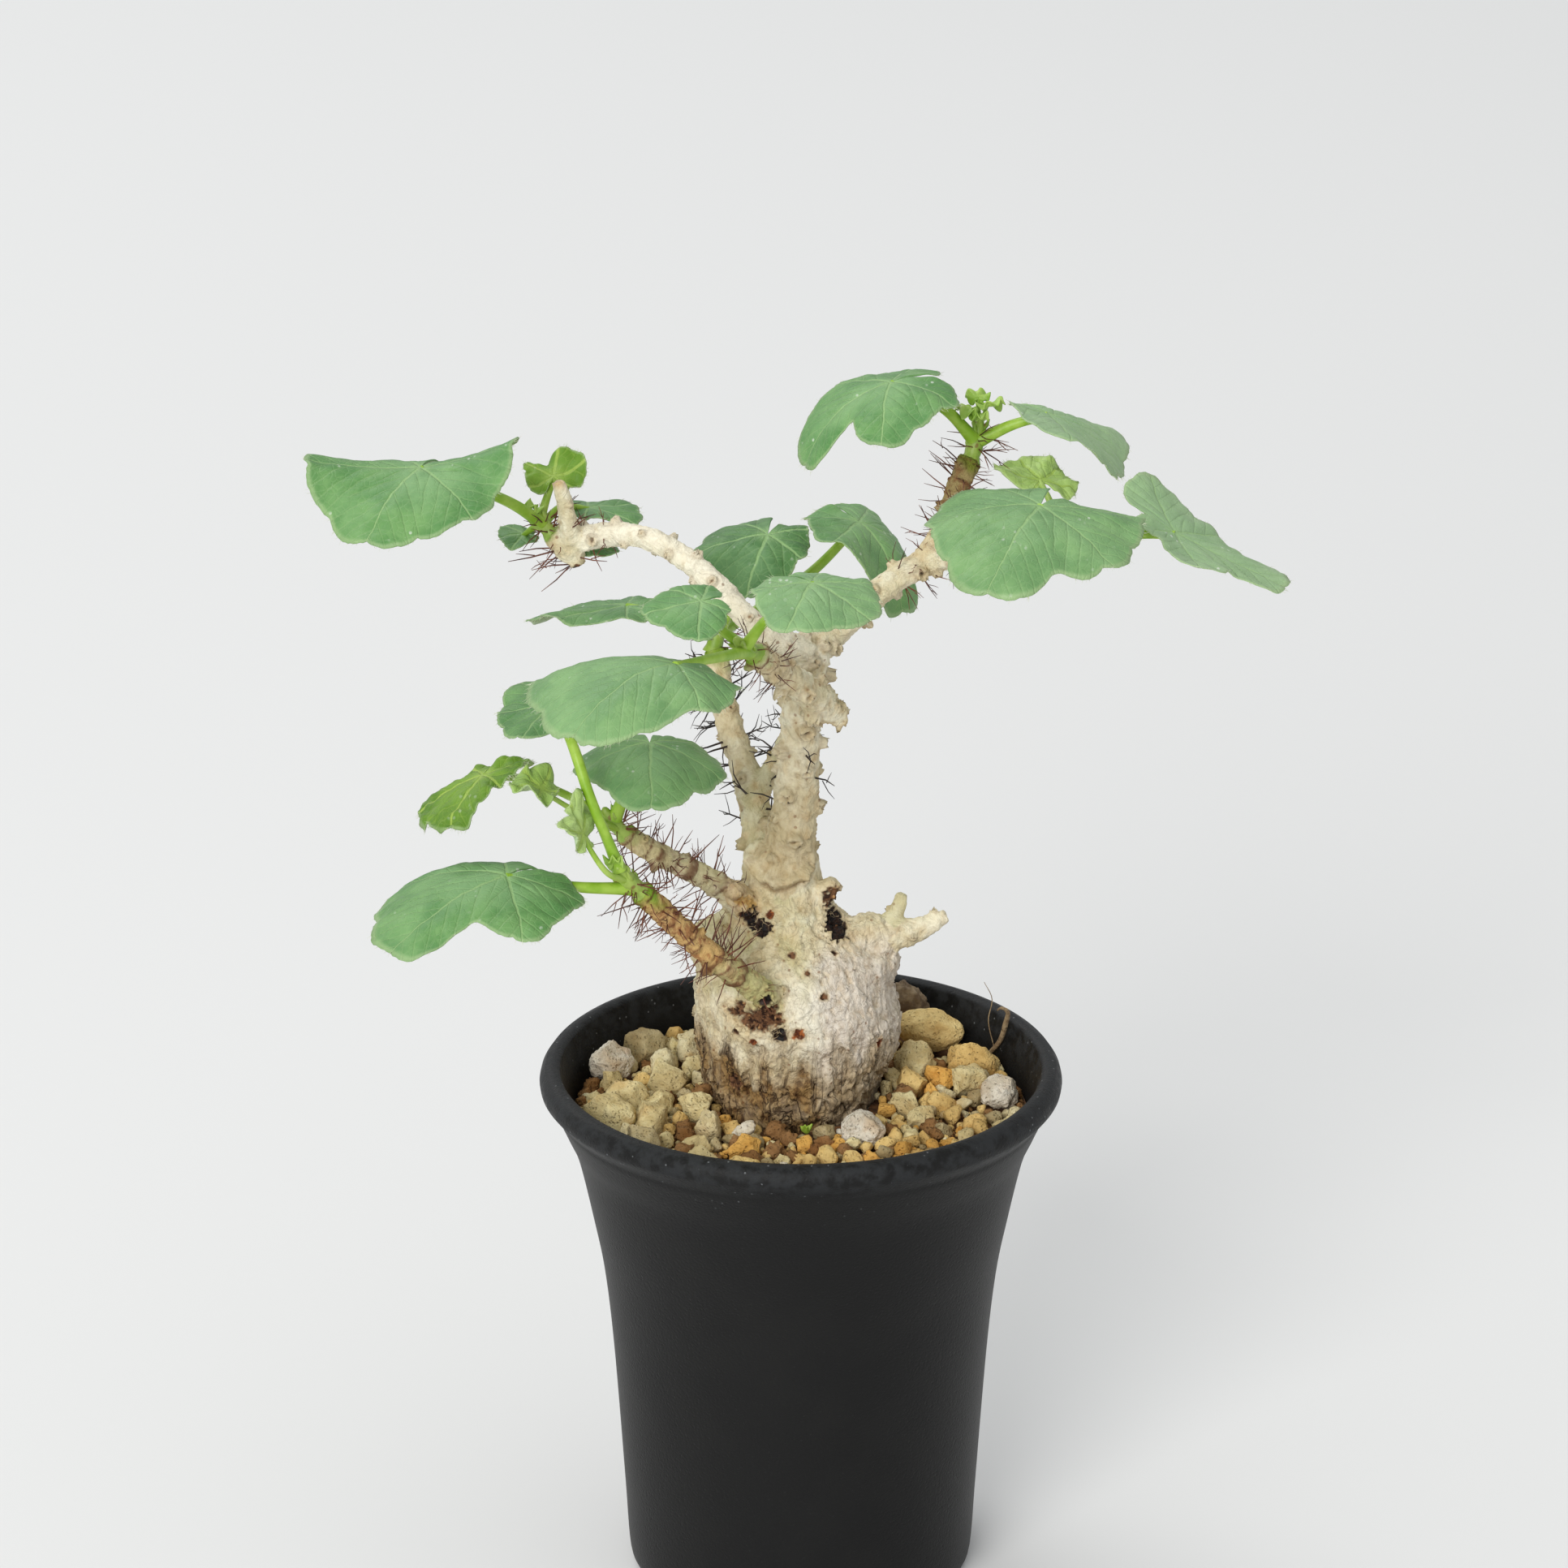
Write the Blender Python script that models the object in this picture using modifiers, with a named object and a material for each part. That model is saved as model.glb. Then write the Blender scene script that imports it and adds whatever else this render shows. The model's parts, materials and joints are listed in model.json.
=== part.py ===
"""A jatropha with a swollen stem, in a flared plastic pot filled with gravel.

Sizes and places below are in millimetres and become metres as each point is made. The origin is the middle of
the pot's underside, +Z is up, and the plant's open side, where the front leaves are, looks along -Y.
"""

import math
import random
from typing import NamedTuple

import bmesh
import bpy
from mathutils import Matrix, Vector, noise
from mathutils.bvhtree import BVHTree

MM = 0.001
GAP = 0.3  # between pieces that touch
MERGE = 1e-6  # metres

# Pot: outer and inner profiles as (radius, height), from the bottom up
FLOOR = 2.0
RIM_RADIUS = 45.0
RIM_HEIGHT = 94.0
POT_OUTSIDE = (
    (28.8, 0.0), (30.2, 1.6), (31.0, 15.0), (32.7, 41.0), (34.2, 56.0), (36.0, 66.0), (38.6, 78.0),
    (40.6, 83.0), (42.8, 88.4), (44.4, 89.6), (RIM_RADIUS, 91.3), (44.4, 93.0), (42.9, RIM_HEIGHT),
)
POT_INSIDE = (
    (28.4, FLOOR), (31.2, 41.0), (32.7, 56.0), (34.5, 66.0), (37.1, 78.0), (39.4, 85.0), (41.4, 93.2),
)
POT_SIDES = 36
DRAIN_HOLES = 6
DRAIN_RADIUS = 3.0
DRAIN_CIRCLE = 17.0

# Gravel: a bed with stones standing half out of it
BED_TOP = 85.2
BED_SIDES = 32
STONE_SEED = 11
CAUDEX_CLEAR = 16.5  # stones stay this far from the caudex's axis
STONE_SIZES = (
    # radius from, radius to, tries, where: big ones left and behind, small ones in front and right
    (3.3, 4.6, 260, "back"),
    (2.1, 3.1, 420, "any"),
    (1.3, 1.9, 700, "front"),
)
MOST_STONES = 52


class Loose(NamedTuple):
    """A larger stone lying on the gravel: its middle and its three half sizes."""

    middle: tuple
    halves: tuple
    turn: float
    colour: str


LOOSE_STONES = {
    "stone_tan": Loose((22.6, 25.0, 89.4), (5.9, 3.7, 3.7), -8, "tan"),
    "stone_bark": Loose((18.6, 31.8, 90.6), (4.4, 2.2, 5.0), -14, "bark"),
    "stone_pumice_left": Loose((-33.0, 12.6, 88.6), (3.8, 3.4, 3.4), 30, "pumice"),
    "stone_pumice_front": Loose((10.6, -14.5, 87.6), (3.5, 3.2, 3.2), 10, "pumice"),
    "stone_pumice_right": Loose((34.4, 1.0, 87.9), (3.4, 3.0, 2.8), 60, "pumice"),
}

# Caudex: the swollen stem, as rows of (height, radius, centre x, centre y)
CAUDEX_ROWS = (
    (57.0, 0.0, 1.0, 8.0), (59.0, 3.2, 1.0, 8.0), (66.0, 6.0, 0.5, 8.0), (74.0, 10.2, 0.0, 8.0),
    (80.0, 13.4, -0.5, 7.8), (85.0, 15.3, -0.5, 7.8), (90.0, 16.8, -0.5, 7.6), (95.0, 17.7, -0.4, 7.5),
    (100.0, 18.1, -0.4, 7.5), (105.0, 17.8, -0.5, 7.4), (109.5, 16.4, -0.8, 7.2), (113.5, 13.9, -1.6, 7.0),
    (117.0, 11.0, -2.4, 6.6), (120.5, 8.6, -3.0, 6.3), (125.0, 7.0, -3.2, 6.4), (130.0, 6.2, -3.3, 6.6),
    (132.5, 4.4, -3.4, 6.8), (133.2, 0.0, -3.4, 6.8),
)
CAUDEX_SIDES = 24
LUMPS = (
    # compass angle, height, how far out, spread in degrees, spread in height
    (178, 114.5, 5.2, 20, 4.0),
    (-6, 112.0, 4.5, 26, 4.5),
    (-112, 106.0, 1.6, 24, 5.0),
    (-60, 94.0, 1.2, 40, 9.0),
    (60, 98.0, -1.2, 30, 9.0),
    (-160, 96.0, -0.9, 22, 8.0),
    (120, 104.0, 1.0, 34, 8.0),
)

# Branches: points of (x, y, z, radius) along each one's middle
TRUNK = ((-3.0, 6, 124, 5.4), (-2.2, 5.5, 130, 4.6), (-1.2, 4.6, 138, 3.9), (-0.6, 3.8, 145, 3.6),
         (-0.2, 2.4, 153, 3.5), (0.3, 0.8, 160, 3.5), (1.2, 0.0, 166, 3.3), (2.0, 0.2, 170.5, 2.7))
BACK_STEM = ((-6.0, 8.4, 125, 3.4), (-7.4, 10.5, 134, 2.9), (-9.5, 14, 142, 2.5), (-12.1, 17, 149, 2.3),
             (-13.8, 20, 155.5, 2.2), (-14.6, 22, 161.5, 2.1))
BACK_TWIG = ((-7.6, 11, 138, 1.9), (-5.1, 13, 143, 1.7), (-2.6, 14, 147.5, 1.6), (-0.4, 14, 152, 1.3))
FRONT = ((7.2, -3.6, 158, 1.6), (3.9, -5.8, 161.4, 2.7), (-0.3, -12, 167, 2.6), (-4.3, -19, 172.5, 2.3),
         (-7.6, -26, 177.5, 2.0))
FRONT_ROOT = ((0.4, 0.6, 158.5, 2.4), (2.2, -3.0, 160.5, 2.6), (3.6, -6.2, 161.8, 2.4))
WEST = ((1.7, 0, 168.5, 2.6), (-3, -4, 172, 2.2), (-7.7, -5, 175, 2.0), (-14.5, -2, 181.6, 2.0),
        (-22.6, 3, 186.3, 1.9), (-30, 7.4, 187.1, 2.0), (-38.4, 9.6, 185.4, 2.3))
WEST_KNEE = ((-37.6, 9.5, 180.6, 0.8), (-38.4, 10, 182.8, 2.3), (-40.2, 10, 185.0, 2.5), (-42.0, 10, 186.5, 1.9))
WEST_STUB = ((-38.6, 8.4, 185.6, 2.3), (-39.2, 7, 190.6, 1.9), (-39.9, 6.5, 194.2, 1.7), (-40.6, 6, 196.6, 1.4))
RIGHT = ((1.9, 0.4, 168.5, 2.8), (4.5, 3, 170, 2.6), (10, 8, 174, 2.4), (16.6, 11, 178.4, 2.3),
         (21.0, 12.4, 180.8, 2.4), (24.2, 14.4, 185.4, 2.2), (26.5, 18, 192, 2.0), (28.6, 20.4, 196.2, 2.0))
RIGHT_SIDE = ((21.0, 12.4, 180.8, 2.3), (29, 12, 182.4, 2.1), (36, 9.5, 184.4, 2.0), (41.4, 6.8, 185.8, 1.9))
RIGHT_KNOB = ((4.8, 3.6, 170.4, 1.9), (8.6, 4, 172.8, 1.7), (10.6, 4, 174.2, 1.2))
LOW_FRONT = ((-3, -2, 104, 3.2), (-5.8, -9, 110, 2.5), (-9.9, -13, 115, 2.2), (-14.6, -17, 120.3, 2.1),
             (-19.3, -20, 126, 2.0), (-23.9, -23.2, 132, 2.0), (-26.6, -25, 135.5, 2.0))
LOW_BACK = ((-5.9, 4, 118.6, 3.0), (-10.4, 1.6, 123, 2.5), (-14.7, -1, 127.5, 2.1), (-20.0, -3.6, 131.6, 1.9),
            (-25.4, -6, 135.4, 1.9), (-29.8, -7.6, 139.2, 1.8))
CUT_STUB = ((-8.6, 2.6, 121.0, 2.6), (-10.8, -0.8, 125.4, 2.2), (-11.4, -1.8, 127.0, 1.9))
NECK_KNOB = ((1.0, 4.0, 121.0, 2.2), (4.6, 3.4, 124.6, 1.9), (6.2, 3.2, 126.0, 1.4))
ARM = ((7.5, 5.4, 109.5, 4.6), (12.0, 5.2, 113.4, 3.8), (16.6, 5.2, 116.2, 3.0))
ARM_OUT = ((15.0, 5.2, 115.4, 3.0), (20, 5, 116.6, 2.1), (22.7, 5, 118, 1.7), (25, 5, 119.2, 1.2))
ARM_UP = ((14.0, 5.2, 115.4, 2.6), (16.4, 5.8, 119.6, 1.6), (17.4, 6, 122.8, 1.2))
SHOULDER = ((-11.0, 5, 111.5, 4.6), (-14.0, 4.8, 115.6, 3.0), (-15.4, 4.4, 118.6, 2.0))
BRANCHES = (
    TRUNK, BACK_STEM, BACK_TWIG, FRONT, FRONT_ROOT, WEST, WEST_KNEE, WEST_STUB, RIGHT, RIGHT_SIDE, RIGHT_KNOB,
    LOW_FRONT, LOW_BACK, CUT_STUB, NECK_KNOB, ARM, ARM_OUT, ARM_UP, SHOULDER,
)
BRANCH_STEP = 5.5  # length of one ring of faces along a branch
WIDE_BRANCH = 2.8  # branches wider than this get more sides

# Scars: the round knobs that fallen leaves left, as (branch, how many)
SCARS = ((TRUNK, 8), (FRONT, 4), (WEST, 6), (RIGHT, 5), (RIGHT_SIDE, 2), (BACK_STEM, 2), (LOW_FRONT, 2))
SCAR_RADIUS = 1.25
SCAR_SEED = 5

# Bristles: stiff branching hairs, as (branch, from, to, how many, length from, length to)
BRISTLES = (
    (LOW_FRONT, 0.22, 1.0, 34, 3.5, 6.5),
    (LOW_BACK, 0.25, 1.0, 24, 3.0, 5.5),
    (BACK_STEM, 0.25, 1.0, 20, 4.0, 7.5),
    (BACK_TWIG, 0.35, 1.0, 8, 4.0, 7.0),
    (RIGHT, 0.50, 1.0, 26, 3.5, 7.0),
    (RIGHT_SIDE, 0.20, 1.0, 12, 3.5, 6.5),
    (WEST_KNEE, 0.10, 1.0, 16, 4.0, 8.0),
    (WEST, 0.86, 1.0, 4, 3.5, 5.0),
    (FRONT, 0.66, 1.0, 10, 3.5, 6.0),
    (TRUNK, 0.25, 0.80, 6, 3.0, 5.0),
)
BRISTLE_ROOT = 0.28
BRISTLE_SUNK = 0.8
BRISTLE_CLEAR = 0.9  # kept to the leaves, the buds and the stones
BRISTLE_SEED = 3

# Buds: the green growing tips, as points of (x, y, z, radius)
BUDS = {
    "bud_west": ((-42.5, 10.1, 186.9, 1.7), (-43.4, 10.3, 188.1, 1.7), (-44.3, 10.6, 189.6, 0.9)),
    "bud_right": ((28.9, 20.7, 196.8, 1.9), (29.6, 21.6, 199.0, 1.9), (30.3, 22.6, 202.0, 1.0)),
    "bud_right_side": ((42.0, 6.6, 186.0, 1.8), (43.8, 5.6, 186.5, 1.9), (46.0, 4.4, 187.4, 1.0)),
    "bud_front": ((-7.9, -26.6, 177.9, 1.9), (-9.3, -29.4, 179.8, 1.9), (-10.5, -31.8, 181.8, 1.0)),
    "bud_back": ((-14.8, 22.3, 162.2, 1.9), (-14.3, 22.8, 164.2, 1.8), (-13.4, 23.4, 166.6, 0.9)),
    "bud_low_front": ((-27.1, -25.3, 136.1, 1.9), (-28.8, -26.6, 138.3, 2.0), (-30.4, -27.8, 140.8, 1.1)),
    "bud_low_back": ((-30.3, -7.8, 139.7, 1.7), (-31.6, -8.2, 141.4, 1.8), (-32.8, -8.4, 143.4, 1.0)),
}

# Leaves
BLADE_THICK = 0.6
BLADE_OPEN = 160  # the blade runs this many degrees to each side of the middle vein
VEIN_SPREAD = 63  # degrees between one main vein and the next
SINUS = 0.06  # how much shorter the blade is between two veins
TOOTH = 0.035
SOCKET = 0.5  # how deep a leaf stalk's foot sits in its bud


class Leaf(NamedTuple):
    """A leaf: its stalk, and a blade that hangs from five main veins meeting at the hub."""

    bud: str
    hub: tuple
    facing: tuple  # compass heading, rise and roll of the middle vein, in degrees
    veins: tuple  # lengths, from the right base lobe round to the left base lobe
    droop: tuple  # how sharply each vein bends down, as 1 / metre
    via: tuple = ()  # points that the stalk passes
    ripple: tuple = (0.4, 0)  # height of the waves in the edge, and their phase in degrees
    bites: tuple = ()  # notches in the edge: (angle, width, depth)
    stalk: float = 0.9  # radius
    foot: float = 0.5  # where on its bud the stalk starts


LEAVES = {
    "leaf_west_big": Leaf("bud_west", (-62.9, -4.0, 202.3), (-119, -6, 2), (15, 19, 20, 17, 16),
                          (36, 0, 38, 36, 4), ((-50.1, 2.5, 195.0),), (0.7, -20)),
    "leaf_west_up": Leaf("bud_west", (-41.6, 13.5, 195.3), (81, 32, -5), (4.5, 5.8, 5.4, 6.0, 4.8),
                         (-3, 0, 16, 15, 7), (), (0.2, -10), (), 0.6, 0.9),
    "leaf_west_back": Leaf("bud_west", (-36.0, 18.0, 188.4), (31, -4, -3), (5.4, 10, 8.7, 8.8, 5.3),
                           (35, 28, 5, 30, 26), ((-40.2, 14.8, 189.6),), (0.2, -100), (), 0.6, 0.5),
    "leaf_west_low": Leaf("bud_west", (-47.0, 14.0, 184.9), (191, 2, -4), (3.2, 5.4, 4.0, 5.8, 3.3),
                          (47, 12, 33, 36, 25), (), (0.2, 176), (), 0.5),
    "leaf_west_under": Leaf("bud_west", (-36.2, 15.5, 182.4), (-20, -6, 2), (3.4, 4.4, 5.6, 5.0, 4.4),
                            (20, 0, 0, 5, 20), ((-40.8, 14.4, 184.6),), (0.2, 0), (), 0.5, 0.1),
    "leaf_back_left": Leaf("bud_back", (-5.7, 22.0, 182.2), (-107, -16, -5), (12.9, 12.7, 14.2, 8.1, 7.3),
                           (69, 31, 53, 43, 34), (), (0.6, -54)),
    "leaf_back_right": Leaf("bud_back", (10.1, 34.0, 180.5), (-49, -16, -13), (9.4, 14.2, 19.8, 15.7, 14.3),
                            (42, 1, 52, 69, 26), ((-9.5, 29.0, 165.0), (1.5, 34.5, 171.0)), (0.7, -80)),
    "leaf_back_low": Leaf("bud_back", (-30.1, 28.0, 167.5), (210, -2, 7), (11.3, 19.8, 13.8, 9.4, 9.5),
                          (32, 10, 2, 8, 14), (), (0.6, 54)),
    "leaf_front_small": Leaf("bud_front", (-16.2, -40.0, 191.3), (206, -1, -9), (6.7, 6.6, 10.1, 11.0, 5.3),
                             (20, 13, 16, 26, 27), ((-13.8, -31.6, 184.4),), (0.1, 0), (), 0.7, 0.7),
    "leaf_front_right": Leaf("bud_front", (1.7, -48.0, 197.0), (-44, -4, 0), (9.8, 14.5, 13.1, 10.1, 11.1),
                             (27, 30, 31, 25, 49), ((-5.4, -34.0, 186.4),), (0.2, -50), (), 0.8, 0.6),
    "leaf_front_big": Leaf("bud_front", (-20.1, -50.0, 184.2), (228, 12, -3), (15.4, 25, 25.8, 14.5, 11.1),
                           (42, 31, 40, 44, 36), ((-12.4, -37.0, 181.0),), (0.7, -8), (), 0.9, 0.25),
    "leaf_left_mid": Leaf("bud_low_front", (-40.8, -16.0, 165.5), (182, -8, -4), (5.2, 12.5, 9.8, 12.3, 6.9),
                          (10, 18, 27, 10, 20), ((-31.9, -28, 145.8), (-34.8, -27.6, 153.4), (-37.6, -24, 161.0)),
                          (0.3, -38), (), 0.9, 0.85),
    "leaf_left_center": Leaf("bud_low_back", (-25.3, -10.0, 156.2), (-87, 0, -3), (12.8, 13.8, 18.9, 14.3, 12.1),
                             (64, 38, 31, 42, 48), (), (0.3, -98)),
    "leaf_young_big": Leaf("bud_low_back", (-53.0, -14.0, 151.9), (-121, -14, 17), (8.9, 13.5, 13.4, 5.8, 8.4),
                           (59, 34, 33, 22, 16), ((-38.4, -9.4, 146.2), (-46.4, -10.0, 149.8)), (0.2, 78), (), 0.7, 0.4),
    "leaf_young_mid": Leaf("bud_low_back", (-43.1, -20.5, 152.1), (140, 25, 11), (3.1, 5.9, 4.7, 6.0, 5.4),
                           (-7, -2, 0, 7, -11), ((-36.4, -16.0, 145.6),), (0.3, 30), (), 0.5, 0.15),
    "leaf_young_low": Leaf("bud_low_front", (-35.9, -32.5, 148.8), (179, 74, -15), (4.9, 7.7, 5.7, 7.1, 3.6),
                           (31, 23, 26, 20, 11), ((-32.2, -31.8, 141.8),), (0.3, -172), (), 0.5, 0.35),
    "leaf_low_left": Leaf("bud_low_front", (-48.4, -34.0, 141.9), (220, -2, -6), (14, 23.8, 25.3, 16.4, 13.4),
                          (55, 35, 24, 25, 34), ((-37.4, -30.2, 138.4),), (0.3, 98), ((32, 15, 0.3),), 0.9, 0.15),
    "leaf_top_big": Leaf("bud_right", (14.9, 14.0, 211.6), (197, -11, 3), (14, 13.2, 21.4, 17.1, 13.1),
                         (33, 17, 50, 42, 45), ((23.6, 18.5, 206.0),), (0.4, 62), ((32, 14, 0.35),)),
    "leaf_top_right": Leaf("bud_right", (41.7, 20.0, 204.3), (-18, -15, -12), (8.4, 17.3, 16.7, 19.0, 8.4),
                           (-2, 5, 50, 9, 21), (), (0.4, 44)),
    "leaf_right_light": Leaf("bud_right_side", (40.8, 24.0, 191.3), (123, 19, 3), (6.5, 7.3, 7.7, 8.1, 4.1),
                             (13, 30, 4, 0, 11), (), (0.2, -50), (), 0.6),
    "leaf_right_front": Leaf("bud_right_side", (38.9, -14.0, 198.9), (-112, -2, -9), (18.3, 19.1, 24.3, 18.9, 18),
                             (31, 33, 31, 21, 12), (), (0.6, -53), ((33, 10, 0.12),)),
    "leaf_right_far": Leaf("bud_right_side", (62.4, 2.0, 189.0), (-19, -23, -4), (9.3, 19.1, 20.8, 12.4, 16.4),
                           (-14, -14, -3, 11, -17), ((55.6, 3.4, 188.4),), (0.5, -84),
                           ((-32, 14, 0.3), (-95, 14, 0.3))),
}

# Colours (linear), roughness
FINISHES = {
    "black_plastic": ((0.021, 0.021, 0.020), 0.55),
    "gravel": ((0.50, 0.38, 0.22), 0.9),
    "tan": ((0.55, 0.40, 0.20), 0.9),
    "bark": ((0.30, 0.20, 0.11), 0.95),
    "pumice": ((0.60, 0.57, 0.52), 0.95),
    "pale_bark": ((0.56, 0.50, 0.40), 0.85),
    "bud_green": ((0.24, 0.36, 0.05), 0.6),
    "leaf_green": ((0.16, 0.31, 0.13), 0.65),
    "young_green": ((0.28, 0.44, 0.07), 0.6),
}
YOUNG = ("leaf_west_up", "leaf_young_big", "leaf_young_mid", "leaf_young_low", "leaf_right_light")


def clear_scene():
    for item in list(bpy.data.objects):
        bpy.data.objects.remove(item, do_unlink=True)


def point(x, y, z):
    return Vector((x, y, z)) * MM


def finish(name):
    material = bpy.data.materials.get(name)
    if material:
        return material
    colour, roughness = FINISHES[name]
    material = bpy.data.materials.new(name)
    material.use_nodes = True
    shader = material.node_tree.nodes["Principled BSDF"]
    shader.inputs["Base Color"].default_value = (*colour, 1)
    shader.inputs["Roughness"].default_value = roughness
    shader.inputs["Metallic"].default_value = 0
    material.diffuse_color = (*colour, 1)
    return material


def to_mesh(obj):
    """The object as its modifiers leave it, as a new mesh. The object is removed."""
    bpy.context.view_layer.update()
    graph = bpy.context.evaluated_depsgraph_get()
    mesh = bpy.data.meshes.new_from_object(obj.evaluated_get(graph))
    bpy.data.objects.remove(obj, do_unlink=True)
    return mesh


def linked(mesh, collection=None, name="shape"):
    obj = bpy.data.objects.new(name, mesh)
    (collection or bpy.context.scene.collection).objects.link(obj)
    return obj


def from_bmesh(shape, name="shape"):
    mesh = bpy.data.meshes.new(name)
    shape.to_mesh(mesh)
    shape.free()
    return mesh


def turned(profile, steps):
    """A closed solid turned round Z from (radius, height) points that run down its outer side."""
    shape = bmesh.new()
    corners = [shape.verts.new(point(radius, 0, height)) for radius, height in profile]
    for one, two in zip(corners, corners[1:]):
        shape.edges.new((one, two))
    obj = linked(from_bmesh(shape))
    screw = obj.modifiers.new("turn", "SCREW")
    screw.steps = screw.render_steps = steps
    screw.use_merge_vertices = True
    screw.merge_threshold = MERGE
    return to_mesh(obj)


def along(route, spacing):
    """Points (x, y, z, radius) on a smooth curve through the route, about this far apart."""
    ends = [Vector(p) for p in route]
    ends = [2 * ends[0] - ends[1], *ends, 2 * ends[-1] - ends[-2]]
    found = []
    for a, b, c, d in zip(ends, ends[1:], ends[2:], ends[3:]):
        pieces = max(1, round((c - b).length / spacing))
        for step in range(pieces):
            t = step / pieces
            curve = 2 * b + (c - a) * t + (2 * a - 5 * b + 4 * c - d) * t**2 + (3 * b - a - 3 * c + d) * t**3
            found.append(curve / 2)
    return [*found, ends[-2]]


def tube(route, spacing, rounds, grow=0.0):
    """A round rod of changing radius with closed ends, on 4 + 2 * rounds sides."""
    curve = bpy.data.curves.new("tube", "CURVE")
    curve.dimensions = "3D"
    curve.bevel_depth = MM
    curve.bevel_resolution = rounds
    curve.use_fill_caps = True
    spots = along(route, spacing)
    spline = curve.splines.new("POLY")
    spline.points.add(len(spots) - 1)
    for knot, spot in zip(spline.points, spots):
        knot.co = (*(spot.xyz * MM), 1)
        knot.radius = spot.w + grow
    mesh = to_mesh(linked(curve))
    shape = bmesh.new()
    shape.from_mesh(mesh)
    bmesh.ops.remove_doubles(shape, verts=shape.verts, dist=MERGE)
    bmesh.ops.recalc_face_normals(shape, faces=shape.faces)
    return from_bmesh(shape)


def boolean(mesh, others, operation):
    """One Boolean of a mesh with a collection of others, applied."""
    helpers = bpy.data.collections.new("helpers")
    bpy.context.scene.collection.children.link(helpers)
    for other in others:
        linked(other, helpers)
    obj = linked(mesh)
    step = obj.modifiers.new(operation, "BOOLEAN")
    step.operation = operation
    step.operand_type = "COLLECTION"
    step.collection = helpers
    step.solver = "MANIFOLD"
    result = to_mesh(obj)
    for helper in list(helpers.objects):
        bpy.data.objects.remove(helper, do_unlink=True)
    bpy.data.collections.remove(helpers)
    return largest_body(result)


def largest_body(mesh):
    """The mesh without the loose scraps that a cut can leave."""
    shape = bmesh.new()
    shape.from_mesh(mesh)
    left = set(shape.faces)
    bodies = []
    while left:
        body = {left.pop()}
        edge_of_body = list(body)
        while edge_of_body:
            near = {f for e in edge_of_body.pop().edges for f in e.link_faces} & left
            left -= near
            body |= near
            edge_of_body.extend(near)
        bodies.append(body)
    bodies.sort(key=len)
    loose = [face for body in bodies[:-1] for face in body]
    bmesh.ops.delete(shape, geom=loose, context="FACES")
    return from_bmesh(shape)


def place(name, mesh, finish_name, collection, sharp=35):
    """Adds the mesh as the named part."""
    mesh.materials.clear()
    mesh.materials.append(finish(finish_name))
    mesh.shade_smooth()
    mesh.set_sharp_from_angle(angle=math.radians(sharp))
    return linked(mesh, collection, name)


def pot():
    inside = [(0, FLOOR), *POT_INSIDE]
    outside = [*reversed(POT_OUTSIDE), (0, 0)]
    body = turned([*inside, *outside], POT_SIDES)
    holes = []
    for index in range(DRAIN_HOLES):
        turn = math.tau * index / DRAIN_HOLES
        shape = bmesh.new()
        middle = point(DRAIN_CIRCLE * math.cos(turn), DRAIN_CIRCLE * math.sin(turn), FLOOR / 2)
        bmesh.ops.create_cone(
            shape, cap_ends=True, segments=10, radius1=DRAIN_RADIUS * MM, radius2=DRAIN_RADIUS * MM,
            depth=3 * FLOOR * MM, matrix=Matrix.Translation(middle),
        )
        holes.append(from_bmesh(shape))
    return boolean(body, holes, "DIFFERENCE")


def stone(middle, halves, turn, seed, fine=1, grow=0.0):
    """An angular pebble: an icosphere flattened, roughened and turned."""
    shape = bmesh.new()
    bmesh.ops.create_icosphere(shape, subdivisions=fine, radius=1)
    rough = 0.16 if fine == 1 else 0.42
    for corner in shape.verts:
        push = 1 + rough * noise.noise(corner.co * 1.6 + Vector((seed * 3.7, 0, 0)))
        size = [half * push + grow for half in halves]
        corner.co = Vector([c * s for c, s in zip(corner.co, size)]) * MM
    tilt = Matrix.Rotation(math.radians(turn * 0.4), 4, "X") @ Matrix.Rotation(math.radians(turn), 4, "Z")
    bmesh.ops.transform(shape, matrix=Matrix.Translation(point(*middle)) @ tilt, verts=shape.verts)
    return from_bmesh(shape)


def inside_radius(height):
    """The pot's inner radius at a height."""
    for (low_r, low), (high_r, high) in zip(POT_INSIDE, POT_INSIDE[1:]):
        if height <= high:
            return low_r + (high_r - low_r) * (height - low) / (high - low)
    return POT_INSIDE[-1][0]


def stone_places():
    """(x, y, z, radius) of the stones standing out of the bed, dealt out by size with no two in one place."""
    draw = random.Random(STONE_SEED)
    taken = [(s.middle[0], s.middle[1], 0, max(s.halves[:2])) for s in LOOSE_STONES.values()]
    loose = len(taken)
    for smallest, largest, tries, where in STONE_SIZES:
        for _ in range(tries):
            radius = draw.uniform(smallest, largest)
            turn = draw.uniform(0, math.tau)
            reach = inside_radius(BED_TOP) - GAP - radius - 0.4
            distance = math.sqrt(draw.uniform(CAUDEX_CLEAR**2, (reach + 2) ** 2))
            x, y = distance * math.cos(turn), distance * math.sin(turn)
            behind = x < -6 or y > 6
            if (where == "back" and not behind) or (where == "front" and behind and draw.random() < 0.7):
                continue
            if math.hypot(x, y) > reach or math.hypot(x + 0.5, y - 7.8) < CAUDEX_CLEAR - 1 + 0.5 * radius:
                continue
            if any(math.hypot(x - a, y - b) < 0.82 * (radius + c) for a, b, _, c in taken):
                continue
            rise = 0.9 if behind else 0.0
            taken.append((x, y, BED_TOP + 0.35 * radius + rise, radius))
    return taken[loose : loose + MOST_STONES]


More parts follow.
